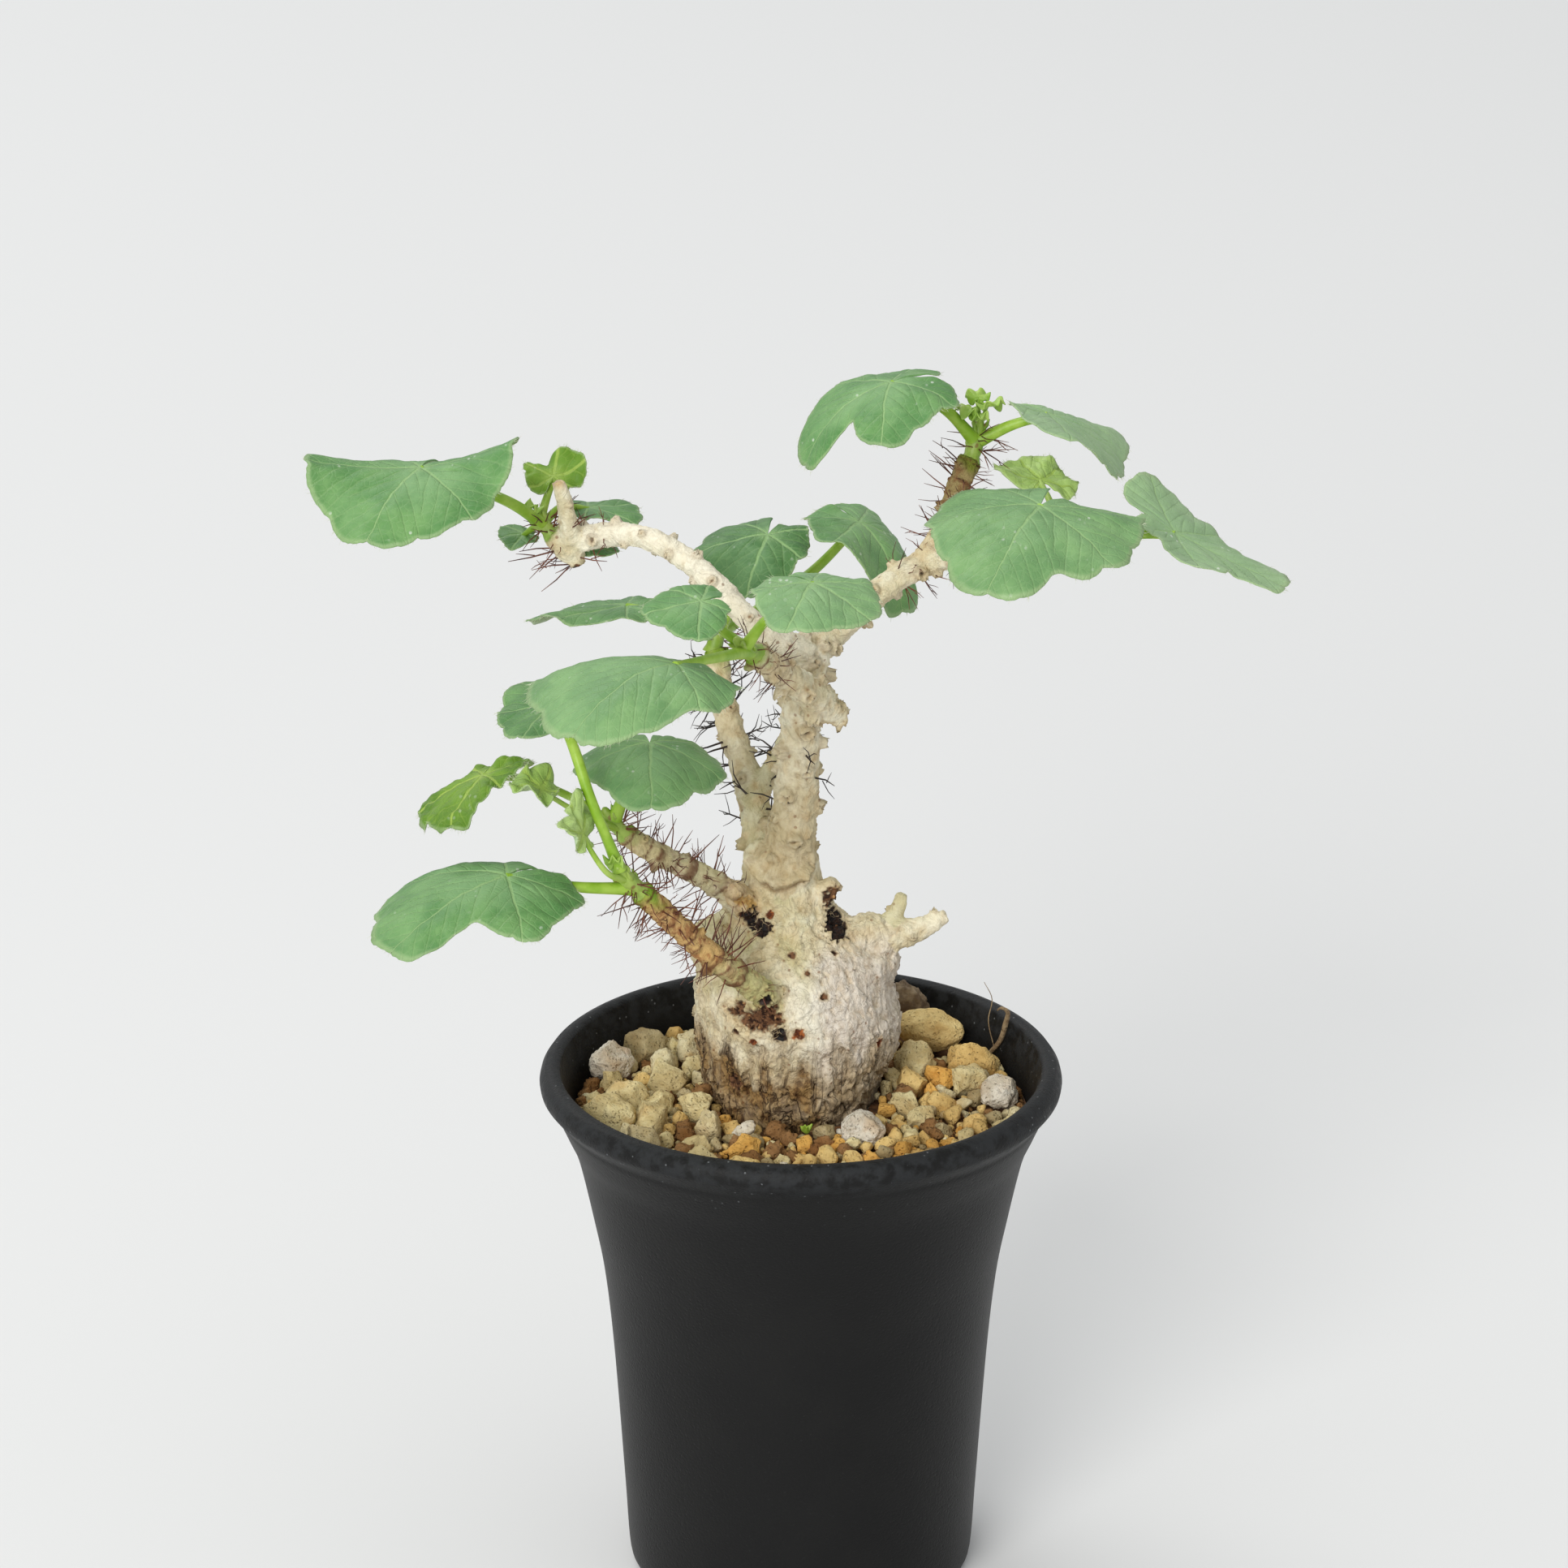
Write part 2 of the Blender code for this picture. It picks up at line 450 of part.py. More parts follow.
def gravel():
    """The potting gravel, with plain holes where the caudex and the larger stones sit."""
    top = inside_radius(BED_TOP) - GAP
    sides = [(r - GAP, z) for r, z in POT_INSIDE[1:] if z < BED_TOP]
    low = FLOOR + GAP
    bed = turned([(0, BED_TOP), (top, BED_TOP), *reversed(sides), (POT_INSIDE[0][0] - GAP, low), (0, low)], BED_SIDES)
    pebbles = []
    for index, (x, y, z, radius) in enumerate(stone_places()):
        halves = (radius, radius * 0.86, radius * 0.78)
        pebbles.append(stone((x, y, z), halves, 40 * index % 180, index))
    heap = boolean(bed, pebbles, "UNION")
    seats = [stone(s.middle, s.halves, s.turn, n, 2, GAP + 0.1) for n, s in enumerate(LOOSE_STONES.values())]
    return boolean(heap, [caudex(GAP + 0.15), *seats], "DIFFERENCE")


def caudex(grow=0.0):
    """The swollen stem and its root, turned from its rows and pushed out of round."""
    mesh = turned([(row[1], row[0]) for row in reversed(CAUDEX_ROWS)], CAUDEX_SIDES)
    for corner in mesh.vertices:
        height = corner.co.z / MM
        flat = Vector((corner.co.x, corner.co.y)) / MM
        compass = math.degrees(math.atan2(flat.y, flat.x))
        push = grow if flat.length > 0.01 else 0.0
        for angle, level, out, spread, tall in LUMPS:
            off = (compass - angle + 180) % 360 - 180
            push += out * math.exp(-((off / spread) ** 2) - ((height - level) / tall) ** 2) * (flat.length > 2)
        push += 0.7 * noise.noise(Vector((flat.x, flat.y, height)) * 0.16) * min(1, flat.length / 6)
        flat += flat.normalized() * push
        x, y = caudex_middle(height)
        rise = grow * (0.0 if flat.length > 1 else (1 if height > 100 else -1))
        corner.co = point(flat.x + x, flat.y + y, height + rise)
    return mesh


def caudex_middle(height):
    for low, high in zip(CAUDEX_ROWS, CAUDEX_ROWS[1:]):
        if height <= high[0]:
            t = (height - low[0]) / (high[0] - low[0])
            return [low[i] + (high[i] - low[i]) * t for i in (2, 3)]
    return CAUDEX_ROWS[-1][2:]


def at(route, share):
    """The middle, the direction and the radius of a branch at a share of its length."""
    spots = along(route, 1.0)
    index = min(int(share * (len(spots) - 1)), len(spots) - 2)
    ahead = (spots[index + 1].xyz - spots[index].xyz).normalized()
    return spots[index].xyz, ahead, spots[index].w


def sideways(ahead, turn):
    """A unit vector at a right angle to the branch, at this turn round it."""
    first = ahead.orthogonal().normalized()
    return first * math.cos(turn) + ahead.cross(first) * math.sin(turn)


def scars():
    draw = random.Random(SCAR_SEED)
    found = []
    for route, count in SCARS:
        for index in range(count):
            middle, ahead, radius = at(route, (index + 0.7) / (count + 0.4))
            out = sideways(ahead, index * 2.4 + draw.uniform(-0.3, 0.3))
            size = SCAR_RADIUS * draw.uniform(0.8, 1.15) * min(1.0, radius / 2.4)
            found.append(stone(middle + out * (radius - 0.1 * size), (size, size, size), index * 50, index))
    return found


def bristle(root, out, length):
    """A three-sided needle from its root."""
    shape = bmesh.new()
    bmesh.ops.create_cone(
        shape, cap_ends=True, segments=3, radius1=BRISTLE_ROOT * MM, radius2=0,
        depth=length * MM, matrix=Matrix.Translation(Vector((0, 0, length / 2)) * MM),
    )
    bmesh.ops.remove_doubles(shape, verts=shape.verts, dist=MERGE)
    turn = out.to_track_quat("Z", "Y").to_matrix().to_4x4()
    bmesh.ops.transform(shape, matrix=Matrix.Translation(root * MM) @ turn, verts=shape.verts)
    return from_bmesh(shape)


def clear_of(trees, root, tip, least):
    for step in range(2, 9):
        spot = (root + (tip - root) * (step / 8)) * MM
        for tree in trees:
            near = tree.find_nearest(spot, least * MM)
            if near[0] is not None:
                return False
    return True


def bristles(others):
    """The bristles, each aimed afresh until it is clear of the pieces in others."""
    draw = random.Random(BRISTLE_SEED)
    trees = [BVHTree.FromPolygons([v.co for v in m.vertices], [p.vertices for p in m.polygons]) for m in others]
    found = []
    for route, start, end, count, shortest, longest in BRISTLES:
        for index in range(count):
            share = start + (end - start) * (index + 0.5) / count
            middle, ahead, radius = at(route, share)
            for _ in range(14):
                aim = sideways(ahead, draw.uniform(0, math.tau))
                lean = ahead * draw.uniform(-0.25, 0.55)
                out = (aim + lean).normalized()
                length = draw.uniform(shortest, longest)
                root = middle + aim * (radius - BRISTLE_SUNK)
                tip = root + out * (length + BRISTLE_SUNK)
                if clear_of(trees, root, tip, BRISTLE_CLEAR):
                    found.append(bristle(root, out, length + BRISTLE_SUNK))
                    break
    return found


def wood(sockets, others):
    """The whole woody plant as one body: root, caudex, branches, scars and bristles."""
    limbs = [tube(route, BRANCH_STEP, 2 if route[0][3] > WIDE_BRANCH else 1) for route in BRANCHES]
    core = boolean(caudex(), [*limbs, *scars()], "UNION")
    core = boolean(core, sockets, "DIFFERENCE")
    return boolean(core, bristles(others), "UNION")


def blade_frame(leaf):
    """The middle vein's direction, the blade's left and its upper side."""
    heading, rise, roll = (math.radians(a) for a in leaf.facing)
    forward = Vector((math.cos(rise) * math.cos(heading), math.cos(rise) * math.sin(heading), math.sin(rise)))
    level = Vector((-math.sin(heading), math.cos(heading), 0))
    up = forward.cross(level)
    return forward, level * math.cos(roll) + up * math.sin(roll), up * math.cos(roll) - level * math.sin(roll)


def between_veins(values, angle):
    """A value given at the five veins, eased from one vein to the next."""
    along_veins = min(max(angle / VEIN_SPREAD + 2, 0), 3.999)
    first = int(along_veins)
    ease = (1 - math.cos(math.pi * (along_veins - first))) / 2
    return values[first] * (1 - ease) + values[first + 1] * ease


def blade_reach(leaf, angle):
    """How far the blade reaches from its hub at an angle to the middle vein."""
    reach = between_veins(leaf.veins, angle) * (1 - SINUS * math.sin(math.pi * angle / VEIN_SPREAD) ** 2)
    past = max(0.0, (abs(angle) - 2 * VEIN_SPREAD) / (BLADE_OPEN - 2 * VEIN_SPREAD))
    reach *= 1 - 0.4 * past**2
    for middle, width, depth in leaf.bites:
        reach *= 1 - depth * math.exp(-(((angle - middle) / width) ** 2))
    return reach


def blade_point(leaf, share, angle, tooth=0.0):
    """A point of the blade, at a share of the way out from the hub."""
    forward, left, up = blade_frame(leaf)
    out = share * blade_reach(leaf, angle) * (1 + tooth)
    bend = between_veins(leaf.droop, angle) * MM
    bend = bend if abs(bend) > 1e-6 else 1e-6
    flat, drop = math.sin(bend * out) / bend, (1 - math.cos(bend * out)) / bend
    height, phase = leaf.ripple
    turn = math.radians(angle)
    wave = height * share**2 * math.cos(6 * turn + math.radians(phase))
    across = forward * math.cos(turn) + left * math.sin(turn)
    return Vector(leaf.hub) + across * flat + up * (wave - drop)


def blade(leaf):
    """The toothed blade as one sheet of triangles, thickened alike on both faces."""
    large = max(leaf.veins) > 9
    rings = ((0.4, 12), (0.75, 24), (1.0, 24)) if large else ((0.5, 8), (1.0, 16))
    shape = bmesh.new()
    hub = shape.verts.new(point(*leaf.hub))
    rows = []
    for share, steps in rings:
        row = []
        for step in range(steps + 1):
            angle = BLADE_OPEN * (2 * step / steps - 1)
            tooth = (TOOTH if step % 2 else -TOOTH) if share == 1 else 0
            row.append(shape.verts.new(blade_point(leaf, share, angle, tooth) * MM))
        rows.append(row)
    for one, two in zip(rows[0], rows[0][1:]):
        shape.faces.new((hub, one, two))
    for inner, outer in zip(rows, rows[1:]):
        each = (len(outer) - 1) // (len(inner) - 1)
        for index, (a, b) in enumerate(zip(inner, inner[1:])):
            rim = outer[each * index : each * index + each + 1]
            for one, two in zip(rim, rim[1:]):
                shape.faces.new((a, one, two))
            shape.faces.new((a, rim[-1], b))
    obj = linked(from_bmesh(shape))
    sheet = obj.modifiers.new("thickness", "SOLIDIFY")
    sheet.thickness = BLADE_THICK * MM
    sheet.offset = 0
    mesh = to_mesh(obj)
    shape = bmesh.new()
    shape.from_mesh(mesh)
    bmesh.ops.recalc_face_normals(shape, faces=shape.faces)
    return from_bmesh(shape)


def stalk(leaf, grow=0.0):
    """The leaf stalk, from a shallow socket in its bud to the underside of the hub."""
    _, _, up = blade_frame(leaf)
    end = Vector(leaf.hub) - up * 0.5
    middle, _, radius = at(BUDS[leaf.bud], leaf.foot)
    target = Vector(leaf.via[0]) if leaf.via else end
    aim = (target - middle).normalized()
    foot = middle + aim * (radius - SOCKET - grow)
    bends = [Vector(p) for p in leaf.via] or [(foot + end) / 2 + Vector((0, 0, 0.05 * (end - foot).length))]
    route = [(*foot, leaf.stalk * 1.15), *[(*p, leaf.stalk) for p in bends], (*end, leaf.stalk * 0.75)]
    return tube(route, 8.0, 1, grow)


def main():
    clear_scene()
    parts = bpy.data.collections.new("potted_jatropha")
    bpy.context.scene.collection.children.link(parts)

    leaves = {name: boolean(blade(leaf), [stalk(leaf)], "UNION") for name, leaf in LEAVES.items()}
    for name, mesh in leaves.items():
        place(name, mesh, "young_green" if name in YOUNG else "leaf_green", parts)
    sockets = {name: [stalk(leaf, GAP) for leaf in LEAVES.values() if leaf.bud == name] for name in BUDS}
    buds = {}
    for name, route in BUDS.items():
        body = tube(route, 2.5, 1)
        buds[name] = boolean(body, sockets[name], "DIFFERENCE") if sockets[name] else body
        place(name, buds[name], "bud_green", parts)

    place("pot", pot(), "black_plastic", parts)
    heap = place("gravel", gravel(), "gravel", parts)
    stones = []
    for seed, (name, item) in enumerate(LOOSE_STONES.items()):
        stones.append(place(name, stone(item.middle, item.halves, item.turn, seed, 2), item.colour, parts))

    clear_of_these = [*leaves.values(), *buds.values(), heap.data, *[s.data for s in stones]]
    every_socket = [stalk(leaf, GAP) for leaf in LEAVES.values()]
    place("plant", wood(every_socket, clear_of_these), "pale_bark", parts)


main()
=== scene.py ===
"""Dresses the potted jatropha: a fine pot, gravel, bark, bristles, buds and veined leaves.

Lengths and places in the tables are in millimetres, in the frame's own axes, and become metres as each mesh
is made. The plant's tables (branches, buds, leaves) say the same as the model's source, so every fine piece
stands where the solid that it replaces stands.
"""

import json
import math
import random
from typing import NamedTuple

import bmesh
import bpy
import numpy as np
from mathutils import Matrix, Vector, kdtree, noise
from mathutils.bvhtree import BVHTree

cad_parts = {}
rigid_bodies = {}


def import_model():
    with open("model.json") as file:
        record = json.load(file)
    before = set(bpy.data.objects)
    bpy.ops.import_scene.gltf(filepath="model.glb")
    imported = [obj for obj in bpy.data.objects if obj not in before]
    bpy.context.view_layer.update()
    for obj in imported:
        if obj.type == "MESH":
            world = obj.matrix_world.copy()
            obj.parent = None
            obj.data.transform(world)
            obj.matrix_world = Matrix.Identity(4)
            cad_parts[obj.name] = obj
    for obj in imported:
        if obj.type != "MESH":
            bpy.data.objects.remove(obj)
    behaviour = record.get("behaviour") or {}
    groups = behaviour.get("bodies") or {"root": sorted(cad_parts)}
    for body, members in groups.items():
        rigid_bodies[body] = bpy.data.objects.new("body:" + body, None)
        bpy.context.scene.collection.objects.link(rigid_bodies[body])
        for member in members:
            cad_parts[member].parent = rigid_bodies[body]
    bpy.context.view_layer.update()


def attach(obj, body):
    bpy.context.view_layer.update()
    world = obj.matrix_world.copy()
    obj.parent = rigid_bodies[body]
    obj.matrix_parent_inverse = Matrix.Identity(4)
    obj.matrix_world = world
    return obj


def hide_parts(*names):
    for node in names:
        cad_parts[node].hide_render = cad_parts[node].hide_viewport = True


for item in list(bpy.data.objects):
    bpy.data.objects.remove(item, do_unlink=True)

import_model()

MM = 0.001
BODY = "root"
NOISE_SEED = 8
noise.seed_set(NOISE_SEED)

# Camera, worked out from the pot's rim and sides in the photo
CAMERA_PLACE = (-0.0029, -0.8988, 0.4826)
CAMERA_PITCH = 20.58  # degrees below level
CAMERA_LENS = 130.4
SENSOR = 36.0

# Pot: outer and inner profiles as (radius, height), from the bottom up
FLOOR = 2.0
POT_OUTSIDE = (
    (28.0, 0.0), (28.9, 0.25), (30.0, 1.4), (30.5, 6.0), (31.0, 15.0), (32.7, 41.0), (34.2, 56.0),
    (36.0, 66.0), (38.6, 78.0), (40.6, 83.0), (42.3, 86.9), (42.35, 87.3), (42.8, 88.1), (44.0, 89.3),
    (44.85, 90.4), (45.0, 91.4), (44.75, 92.5), (44.0, 93.6), (42.9, 93.95),
)
POT_INSIDE = (
    (28.4, FLOOR), (31.2, 41.0), (32.7, 56.0), (34.5, 66.0), (37.1, 78.0), (39.4, 85.0), (41.4, 93.2),
)
POT_LIP = ((41.5, 93.5), (42.1, 93.85))
POT_SIDES = 160
DRAIN_HOLES = 6
DRAIN_RADIUS = 3.0
DRAIN_CIRCLE = 17.0
DRAIN_SIDES = 32
SHARP_ANGLE = 50

# Gravel: the bed, and the large stones that the solid shows too
BED_TOP = 85.2
BED_RINGS = 44
BED_SIDES = 200
GAP = 0.3
CAUDEX_MIDDLE = (-0.5, 7.8)  # where the caudex stands in the gravel
CAUDEX_CLEAR = 16.5
STONE_SEED = 11
STONE_SIZES = ((3.3, 4.6, 260, "back"), (2.1, 3.1, 420, "any"), (1.3, 1.9, 700, "front"))
MOST_STONES = 52
# Each kind's tint, and the tint and colour at which each look starts
STONE_KINDS = {
    "cream": 0.05, "pale": 0.16, "tan": 0.30, "orange": 0.45, "brown": 0.60, "grey": 0.75, "white": 0.90,
}
STONE_COLOURS = (
    (0.0, (0.82, 0.71, 0.40)), (0.11, (0.81, 0.72, 0.46)), (0.22, (0.84, 0.61, 0.25)),
    (0.38, (0.84, 0.49, 0.13)), (0.52, (0.34, 0.185, 0.075)), (0.68, (0.50, 0.41, 0.23)),
    (0.82, (0.86, 0.81, 0.70)),
)
# Fillers between the large stones: radius from, to, tries, height over the bed, icosphere level
FILLERS = (
    ("gravel_pebbles", 1.3, 2.2, 1500, 0.8, 3),
    ("gravel_grit", 0.7, 1.25, 4200, 0.7, 2),
    ("gravel_crumbs", 0.3, 0.6, 6500, 0.35, 1),
)
FILLER_SEED = 21
FILLER_CLEAR = 14.0  # no filler lies nearer to the pot's axis
FINEST = 0.5  # fillers under this radius take their tints from a list of their own
CRUMB_TINTS = (0.30, 0.45, 0.60, 0.60, 0.60)
# A stone's skin: features to its radius, and share of its roughness
STONE_RELIEF = ((2.2, 1.0), (6.0, 0.5), (13.0, 0.3))


class Loose(NamedTuple):
    """A larger stone lying on the gravel: its middle, its half sizes and its turn."""

    middle: tuple
    halves: tuple
    turn: float
    look: str


LOOSE_STONES = {
    "stone_tan": Loose((22.6, 25.0, 89.4), (5.9, 3.7, 3.7), -8, "tan_stone"),
    "stone_bark": Loose((18.6, 31.8, 90.6), (4.4, 2.2, 5.0), -14, "bark_chip"),
    "stone_pumice_left": Loose((-33.0, 12.6, 88.6), (3.8, 3.4, 3.4), 30, "pumice"),
    "stone_pumice_front": Loose((10.6, -14.5, 87.6), (3.5, 3.2, 3.2), 10, "pumice"),
    "stone_pumice_right": Loose((34.4, 1.0, 87.9), (3.4, 3.0, 2.8), 60, "pumice"),
}

# The larger stones' shapes: how many flats, how rough, and how deep their holes
LOOSE_SHAPES = {"tan_stone": (12, 0.06, 0.0), "bark_chip": (16, 0.16, 0.0), "pumice": (12, 0.12, 0.05)}

# Caudex: rows of (height, radius, centre x, centre y)
CAUDEX_ROWS = (
    (57.0, 0.0, 1.0, 8.0), (59.0, 3.2, 1.0, 8.0), (66.0, 6.0, 0.5, 8.0), (74.0, 10.2, 0.0, 8.0),
    (80.0, 13.4, -0.5, 7.8), (85.0, 15.3, -0.5, 7.8), (90.0, 16.8, -0.5, 7.6), (95.0, 17.7, -0.4, 7.5),
    (100.0, 18.1, -0.4, 7.5), (105.0, 17.8, -0.5, 7.4), (109.5, 16.4, -0.8, 7.2), (113.5, 13.9, -1.6, 7.0),
    (117.0, 11.0, -2.4, 6.6), (120.5, 8.6, -3.0, 6.3), (125.0, 7.0, -3.2, 6.4), (130.0, 6.2, -3.3, 6.6),
    (132.5, 4.4, -3.4, 6.8), (133.2, 0.0, -3.4, 6.8),
)
CAUDEX_SIDES = 72


class Lump(NamedTuple):
    """A lump on the caudex: its compass angle and height, how far out, and its spread both ways."""

    compass: float
    height: float
    out: float
    spread: float  # in degrees
    tall: float


LUMPS = (
    Lump(178, 114.5, 5.2, 20, 4.0),
    Lump(-6, 112.0, 4.5, 26, 4.5),
    Lump(-112, 106.0, 1.6, 24, 5.0),
    Lump(-60, 94.0, 1.2, 40, 9.0),
    Lump(60, 98.0, -1.2, 30, 9.0),
    Lump(-160, 96.0, -0.9, 22, 8.0),
    Lump(120, 104.0, 1.0, 34, 8.0),
)
# The foot's right side and the shoulder under the arm are drawn in a little more than in the solid
FOOT_LUMP = Lump(-22, 87.0, -2.6, 42, 7.5)
SHOULDER_LUMP = Lump(-8, 107.5, -2.3, 34, 5.5)

# Branches: points of (x, y, z, radius) along each one's middle
BRANCHES = {
    "trunk": (
        (-3.0, 6, 124, 5.4), (-2.2, 5.5, 130, 4.6), (-1.2, 4.6, 138, 3.9), (-0.6, 3.8, 145, 3.6),
        (-0.2, 2.4, 153, 3.5), (0.3, 0.8, 160, 3.5), (1.2, 0.0, 166, 3.3), (2.0, 0.2, 170.5, 2.7),
    ),
    "back_stem": (
        (-6.0, 8.4, 125, 3.4), (-7.4, 10.5, 134, 2.9), (-9.5, 14, 142, 2.5), (-12.1, 17, 149, 2.3),
        (-13.8, 20, 155.5, 2.2), (-14.6, 22, 161.5, 2.1),
    ),
    "back_twig": (
        (-7.6, 11, 138, 1.9), (-5.1, 13, 143, 1.7), (-2.6, 14, 147.5, 1.6), (-0.4, 14, 152, 1.3),
    ),
    "front": (
        (7.2, -3.6, 158, 1.6), (3.9, -5.8, 161.4, 2.7), (-0.3, -12, 167, 2.6), (-4.3, -19, 172.5, 2.3),
        (-7.6, -26, 177.5, 2.0),
    ),
    "front_root": ((0.4, 0.6, 158.5, 2.4), (2.2, -3.0, 160.5, 2.6), (3.6, -6.2, 161.8, 2.4)),
    "west": (
        (1.7, 0, 168.5, 2.6), (-3, -4, 172, 2.2), (-7.7, -5, 175, 2.0), (-14.5, -2, 181.6, 2.0),
        (-22.6, 3, 186.3, 1.9), (-30, 7.4, 187.1, 2.0), (-38.4, 9.6, 185.4, 2.3),
    ),
    "west_knee": (
        (-37.6, 9.5, 180.6, 0.8), (-38.4, 10, 182.8, 2.3), (-40.2, 10, 185.0, 2.5),
        (-42.0, 10, 186.5, 1.9),
    ),
    "west_stub": (
        (-38.6, 8.4, 185.6, 2.3), (-39.2, 7, 190.6, 1.9), (-39.9, 6.5, 194.2, 1.7),
        (-40.6, 6, 196.6, 1.4),
    ),
    "right": (
        (1.9, 0.4, 168.5, 2.8), (4.5, 3, 170, 2.6), (10, 8, 174, 2.4), (16.6, 11, 178.4, 2.3),
        (21.0, 12.4, 180.8, 2.4), (24.2, 14.4, 185.4, 2.2), (26.5, 18, 192, 2.0),
        (28.6, 20.4, 196.2, 2.0),
    ),
    "right_side": (
        (21.0, 12.4, 180.8, 2.3), (29, 12, 182.4, 2.1), (36, 9.5, 184.4, 2.0), (41.4, 6.8, 185.8, 1.9),
    ),
    "right_knob": ((4.8, 3.6, 170.4, 1.9), (8.6, 4, 172.8, 1.7), (10.6, 4, 174.2, 1.2)),
    "low_front": (
        (-3, -2, 104, 3.2), (-5.8, -9, 110, 2.5), (-9.9, -13, 115, 2.2), (-14.6, -17, 120.3, 2.1),
        (-19.3, -20, 126, 2.0), (-23.9, -23.2, 132, 2.0), (-26.6, -25, 135.5, 2.0),
    ),
    "low_back": (
        (-5.9, 4, 118.6, 3.0), (-10.4, 1.6, 123, 2.5), (-14.7, -1, 127.5, 2.1), (-20.0, -3.6, 131.6, 1.9),
        (-25.4, -6, 135.4, 1.9), (-29.8, -7.6, 139.2, 1.8),
    ),
    "cut_stub": ((-8.6, 2.6, 121.0, 2.6), (-10.8, -0.8, 125.4, 2.2), (-11.4, -1.8, 127.0, 1.9)),
    "neck_knob": ((1.0, 4.0, 121.0, 2.2), (4.6, 3.4, 124.6, 1.9), (6.2, 3.2, 126.0, 1.4)),
    "arm": ((7.5, 5.4, 109.5, 4.6), (12.0, 5.2, 113.4, 3.8), (16.6, 5.2, 116.2, 3.0)),
    "arm_out": ((15.0, 5.2, 115.4, 3.0), (20, 5, 116.6, 2.1), (22.7, 5, 118, 1.7), (25, 5, 119.2, 1.2)),
    "arm_up": ((14.0, 5.2, 115.4, 2.6), (16.4, 5.8, 119.6, 1.6), (17.4, 6, 122.8, 1.2)),
    "shoulder": ((-11.0, 5, 111.5, 4.6), (-14.0, 4.8, 115.6, 3.0), (-15.4, 4.4, 118.6, 2.0)),
}
# Flesh over the root of the arm, thicker than in the solid
FLESH = {"arm_root": ((6.5, 4.8, 112.5, 5.0), (10.5, 4.8, 115.2, 4.1), (14.5, 5.0, 116.8, 2.8))}
LIMBS = {**BRANCHES, **FLESH}
# Limbs that wear the caudex's bark, and limbs with brown stains
FLESHY = ("arm", "arm_root")
STAINED = ("trunk", "front_root", "front", "back_stem", "back_twig")
# Branches that are slimmer than in the solid
SLIMMER = {"west_stub": 0.78, "arm_up": 0.88}
# How slim a branch's root is, against its own radius, where it comes out of the caudex
ROOTS = {"low_front": 0.30}
LIMB_SIDES = 16
BARK_VOXEL = 0.33
BARK_SMOOTHING = 3
BARK_TRIANGLES = 188000
# One zone darkens the bark's creases, cracks and hollows: painted shade in them.
BARK_ZONES = (
    "tan", "olive", "green", "twig_tan_and_shade", "white", "moss", "grey", "base", "node", "rust", "ember", "char",
    "crease_shade", "body",
)
PAINTED_HIGHLIGHT_MIDDLE = Vector((1.8, -9.9, 107.0))  # the middle of the painted highlight on the caudex's front
COLLAR_MIDDLE = (-3.2, 6.2, 125.9)

# Leaf scars: how many on each branch, spiralling up it by the golden angle
SCARS = {
    "trunk": 30, "front": 14, "front_root": 6, "west": 26, "right": 18, "right_side": 7, "back_stem": 10,
    "back_twig": 3, "low_front": 8, "low_back": 7, "west_stub": 4, "arm": 3, "arm_out": 4, "arm_up": 2,
    "shoulder": 3,
}
SCAR_RADIUS = 1.35
SCAR_HEIGHT = 1.3
GOLDEN_ANGLE = 2.39996
SCAR_SEED = 5
# Cut ends with a raised rim and a hollow: middle, radius and raggedness
CUT_ENDS = (((-11.6, -3.4, 128.0), 2.2, 0.06),)

# Dark bands at the nodes of the young branches: how many over the whole branch, and where they start
NODES = {
    "low_front": (13, 0.30), "low_back": (11, 0.30), "right": (17, 0.60), "right_side": (8, 0.2),
    "front": (10, 0.6),
}
NODE_SWELL = 0.25

